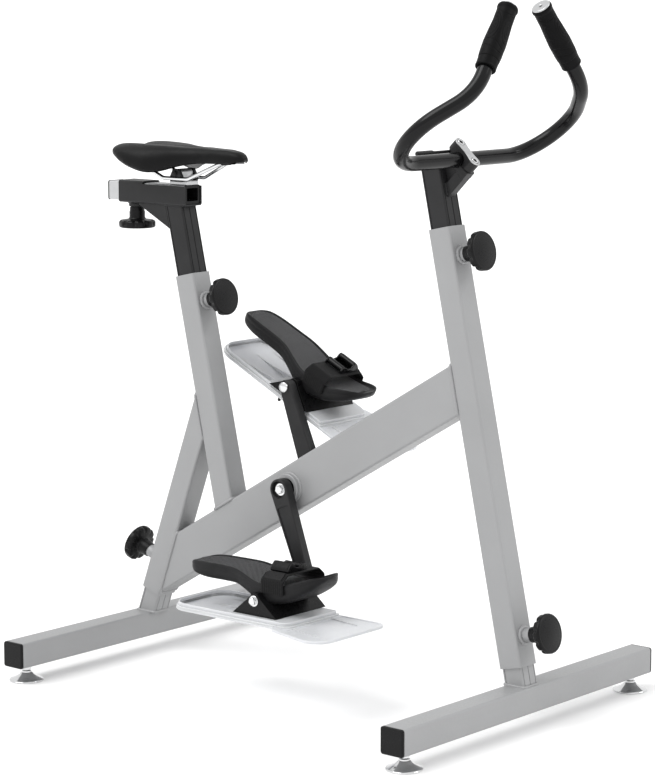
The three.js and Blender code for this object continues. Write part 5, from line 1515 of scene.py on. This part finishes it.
def shoulder_plate_shape():
    """The buckle's fixed lower plate, lying on the strap's outer shoulder."""
    knee = 0.007
    slope = STRAP_DROP / STRAP_SHOULDER
    stations = (0.008, 0.0095, 0.012, 0.016, 0.0205)
    outline = [(x, 0.0012 - (x - knee) * slope) for x in stations]
    outline += [(x, 0.0033 - (x - knee) * slope) for x in reversed(stations)]
    return moved(softened(upright(outline, BUCKLE_WIDTH - 0.002), 0.0007), QUARTER)


def bracket_outline(inset):
    apex = BRACKET_APEX - inset
    base = BRACKET_HALF - 2 * inset
    return [(-base, -BRACKET_DROP + inset), (base, -BRACKET_DROP + inset), (apex * 0.75, apex * 0.55),
            (apex * 0.45, apex), (-apex * 0.45, apex), (-apex * 0.75, apex * 0.55)]


def build_bracket(side, hand, place, body):
    shell = moved(softened(upright(bracket_outline(0), BRACKET_LENGTH), 0.0008), y=FOOTBED_MIDDLE)
    hollow = moved(upright(bracket_outline(0.003), BRACKET_LENGTH - 0.01), y=FOOTBED_MIDDLE)
    under = -BRACKET_DROP
    opening = block((-0.04, BRACKET_INNER + 0.02, under - 0.002),
                    (0.04, BRACKET_INNER + BRACKET_LENGTH - 0.005, under + 0.005))
    pin = turned([(0, under - 0.021), (0.0022, under - 0.021), (0.003, under - 0.0195),
                  (0.003, under + 0.003), (0, under + 0.003)], 20)
    shape = together(carved(shell, hollow, opening), moved(pin, x=-0.022, y=BRACKET_INNER + 0.01))
    make(f"pedal_bracket_{hand}_shape", shape, place, MOULDED, body, f"pedal_bracket_{hand}", side=side)


def build_spindle(side, hand):
    outer = BRACKET_INNER + BRACKET_LENGTH + GAP
    inner = CRANK_INNER - GAP
    shank = rod(0.006, inner - 0.003, outer + 0.0075, 32, 0.0008)
    head = turned([(0, inner), (0.0088, inner), (0.0092, inner - 0.0005), (0.0092, inner - 0.0035),
                   (0.0086, inner - 0.0045), (0.006, inner - 0.0055), (0, inner - 0.006)])
    washer = turned([(0, outer), (0.0092, outer), (0.0095, outer + 0.0003), (0.0095, outer + 0.0013),
                     (0.0092, outer + 0.0016), (0, outer + 0.0016)])
    nut = hex_nut(0.0074, outer + 0.0014, outer + 0.0064, 0.0006)
    collar = rod(0.0085, CRANK_OUTER + GAP, BRACKET_INNER - GAP, 32, 0.0003)
    shape = moved(together(shank, head, washer, nut, collar), ALONG_Y, z=side * CRANK_LENGTH)
    make(f"pedal_bolt_{hand}", shape, CRANK, CHROME, "crank", f"pedal_spindle_{hand}", side=side)


def fin_slab(inset, low, high):
    """One layer of the fin's rear slab, drawn in from its outline."""
    rear = FIN_REAR + inset
    front = FIN_SLAB_FRONT - inset
    inner = FIN_INNER + inset
    outer = FIN_SLAB_OUTER - inset
    corners = [(rear, inner, FIN_CORNER - inset), (front, inner, 0.004), (front, outer, 0.016),
               (rear, outer, FIN_CORNER - inset)]
    return softened(slab(rounded_outline(corners), low, high), 0.0014)


def fin_plate(low):
    """The fin's thin lower plate, with a sunk tray in the part that widens to the front."""
    step = FIN_FLANGE_START - 0.012
    outline = [(FIN_REAR, FIN_INNER, FIN_CORNER), (FIN_FRONT, FIN_INNER, 0.024),
               (FIN_FRONT, FIN_OUTER, 0.034), (FIN_FLANGE_START, FIN_SLAB_OUTER + FLANGE_STEP, 0.012),
               (step, FIN_SLAB_OUTER, 0.012), (FIN_REAR, FIN_SLAB_OUTER, FIN_CORNER)]
    return softened(slab(rounded_outline(outline), low, low + FLANGE_THICKNESS), 0.0016)


def fin_rib(y, front, floor):
    """A rib that sinks from the pocket's front wall to its floor."""
    reach = front - FIN_REAR - FIN_RIM
    foot = floor - 0.001
    outline = [(front + 0.001, foot), (front + 0.001, FIN_TOP - 0.0008)]
    for share in np.linspace(0.12, 0.7, 8):
        height = floor + (FIN_TOP - floor) * (1 - share / 0.72) ** 1.6
        outline.append((front - reach * share, height))
    outline.append((front - reach * 0.72, foot))
    return moved(softened(upright(outline, 0.0036), 0.0006, 40, 2), y=y)


def flange_ridge(near, far, base):
    """A thin raised line on the flange, which narrows to the front."""
    start = FIN_SLAB_FRONT + 0.004
    end = FIN_FRONT - 0.034
    wedge = [(start, near - 0.0014), (end, far - 0.0004), (end, far + 0.0004), (start, near + 0.0014)]
    return softened(slab(wedge, base, base + 0.0018), 0.0004)


def fin_shape():
    """Two stacked slabs with a ribbed pocket at the rear, and a thin plate that widens to the front."""
    top = FIN_TOP
    low = top - FIN_THICKNESS
    floor = low + 0.0032
    front = -BRACKET_HALF - 0.009
    inner = FIN_INNER + FIN_RIM
    outer = FIN_SLAB_OUTER - FIN_RIM
    rear = FIN_REAR + FIN_RIM
    pocket = rounded_outline([(rear, inner, 0.031), (front, inner, 0.006), (front, outer, 0.006),
                              (rear, outer, 0.031)])
    tray_rear = FIN_SLAB_FRONT + 0.006
    tray_front = FIN_FRONT - FIN_RIM
    tray = rounded_outline([(tray_rear, inner, 0.008), (tray_front, inner, 0.018),
                            (tray_front, FIN_OUTER - FIN_RIM, 0.026),
                            (tray_rear, FIN_SLAB_OUTER + 0.01, 0.01)])
    tray = softened(slab(tray, low + FLANGE_THICKNESS - 0.0009, low + 0.02), 0.0004)
    plate = carved(carved(fin_plate(low), softened(slab(pocket, floor, top + 0.01), 0.001)), tray)
    layers = [carved(fin_slab(inset, start, end), slab(pocket, low - 0.01, top + 0.01))
              for inset, start, end in ((0.0006, low + 0.003, top - 0.0055), (0.004, top - 0.0065, top))]
    width = FIN_SLAB_OUTER - FIN_INNER
    ribs = [fin_rib(FIN_INNER + width * share, front, floor) for share in (0.18, 0.5, 0.82)]
    base = low + FLANGE_THICKNESS - 0.0014
    ridges = [flange_ridge(FIN_INNER + 0.03, FIN_INNER + 0.042, base),
              flange_ridge(FIN_SLAB_OUTER - 0.01, FIN_SLAB_OUTER + 0.006, base)]
    return together(plate, *layers, *ribs, *ridges)


def build_pedal(side, hand):
    place = pedal_frame(side, hand)
    body = f"pedal_{hand}"
    build_bracket(side, hand, place, body)
    build_spindle(side, hand)
    refined(make(f"footbed_{hand}_shape", footbed_shape(), place, FOAM, body, f"footbed_{hand}", side=side,
                 sharp=70, weighted=False))
    make(f"foot_lining_{hand}", lining_shape(), place, LINING, body, f"footbed_lining_{hand}", side=side)
    make(f"foot_strap_{hand}", strap_shape(), place, WEBBING, body, f"pedal_strap_{hand}", side=side,
         weighted=False)
    hinge = place @ Matrix.Translation((STRAP_MIDDLE, side * (FOOTBED_MIDDLE + HINGE_OUT), STRAP_TOP + GAP))
    make(f"cam_buckle_{hand}", buckle_shape(), hinge, GLOSS, f"buckle_{hand}", f"strap_buckle_{hand}",
         side=side, slot="black_plastic")
    make(f"buckle_plate_{hand}", shoulder_plate_shape(), hinge, MOULDED, body, side=side)
    make(f"water_fin_{hand}", fin_shape(), place, FIN, body, f"resistance_fin_{hand}", side=side)


# Floor, lights and camera

def build_floor():
    look = Look("studio_floor", None, (0.93, 0.93, 0.93), 0.9, 0.2)
    look.tint(look.noise(0.6), 0.01)
    reach = 600
    corners = [(-reach, -reach, 0), (reach, -reach, 0), (reach, reach, 0), (-reach, reach, 0)]
    mesh = bpy.data.meshes.new("studio_floor")
    mesh.from_pydata(corners, [], [(0, 1, 2, 3)])
    mesh.materials.append(look.material)
    added("studio_floor", mesh)


def build_lights():
    """A pale world and two very wide soft suns: azimuth from +X, elevation, spread and strength."""
    world = bpy.data.worlds.new("studio")
    world.use_nodes = True
    background = world.node_tree.nodes["Background"]
    background.inputs["Color"].default_value = (1, 1, 1, 1)
    background.inputs["Strength"].default_value = 1.0
    bpy.context.scene.world = world
    suns = {"key": (-120, 55, 40, 1.5), "front": (35, 36, 22, 0.7)}
    for name, (azimuth, elevation, spread, strength) in suns.items():
        light = bpy.data.lights.new(name, "SUN")
        light.energy = strength
        light.angle = math.radians(spread)
        added(name, light).rotation_euler = (0, math.radians(90 - elevation), math.radians(azimuth))


def build_camera():
    camera = bpy.data.cameras.new("camera")
    camera.lens = CAMERA_LENS
    camera.sensor_width = 36
    camera.clip_end = 1000
    holder = added("camera", camera)
    holder.location = CAMERA_PLACE
    holder.rotation_euler = (math.radians(90 - CAMERA_DROP), 0, math.radians(CAMERA_TURN))
    bpy.context.scene.camera = holder
    bpy.context.scene.view_settings.view_transform = "Standard"


def finish_hidden_nodes():
    """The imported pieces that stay: the axle and its bushing."""
    for node, look in (("crank_axle", CHROME), ("axle_bushing", MOULDED)):
        materials = frame["nodes"][node].data.materials
        materials.clear()
        materials.append(look.material)


build_column()
build_seat_tube()
build_strut()
build_beam()
build_crank_shell()
build_floor_bar("front", FRONT_BAR, COLUMN, FRONT_LEG_TOP, "front_base")
build_floor_bar("rear", REAR_BAR, STRUT, REAR_LEG_TOP, "rear_base")
build_knobs()
build_bar_post()
build_stem()
build_clamp()
build_lever()
build_handlebar()
build_seat_post()
build_sleeve()
build_slider()
build_carriage()
build_saddle_cover()
build_saddle_shell()
build_rails()
build_saddle_clamp()
build_cranks()
for pedal_side, pedal_hand in SIDES:
    build_pedal(pedal_side, pedal_hand)
finish_hidden_nodes()
build_floor()
build_lights()
build_camera()
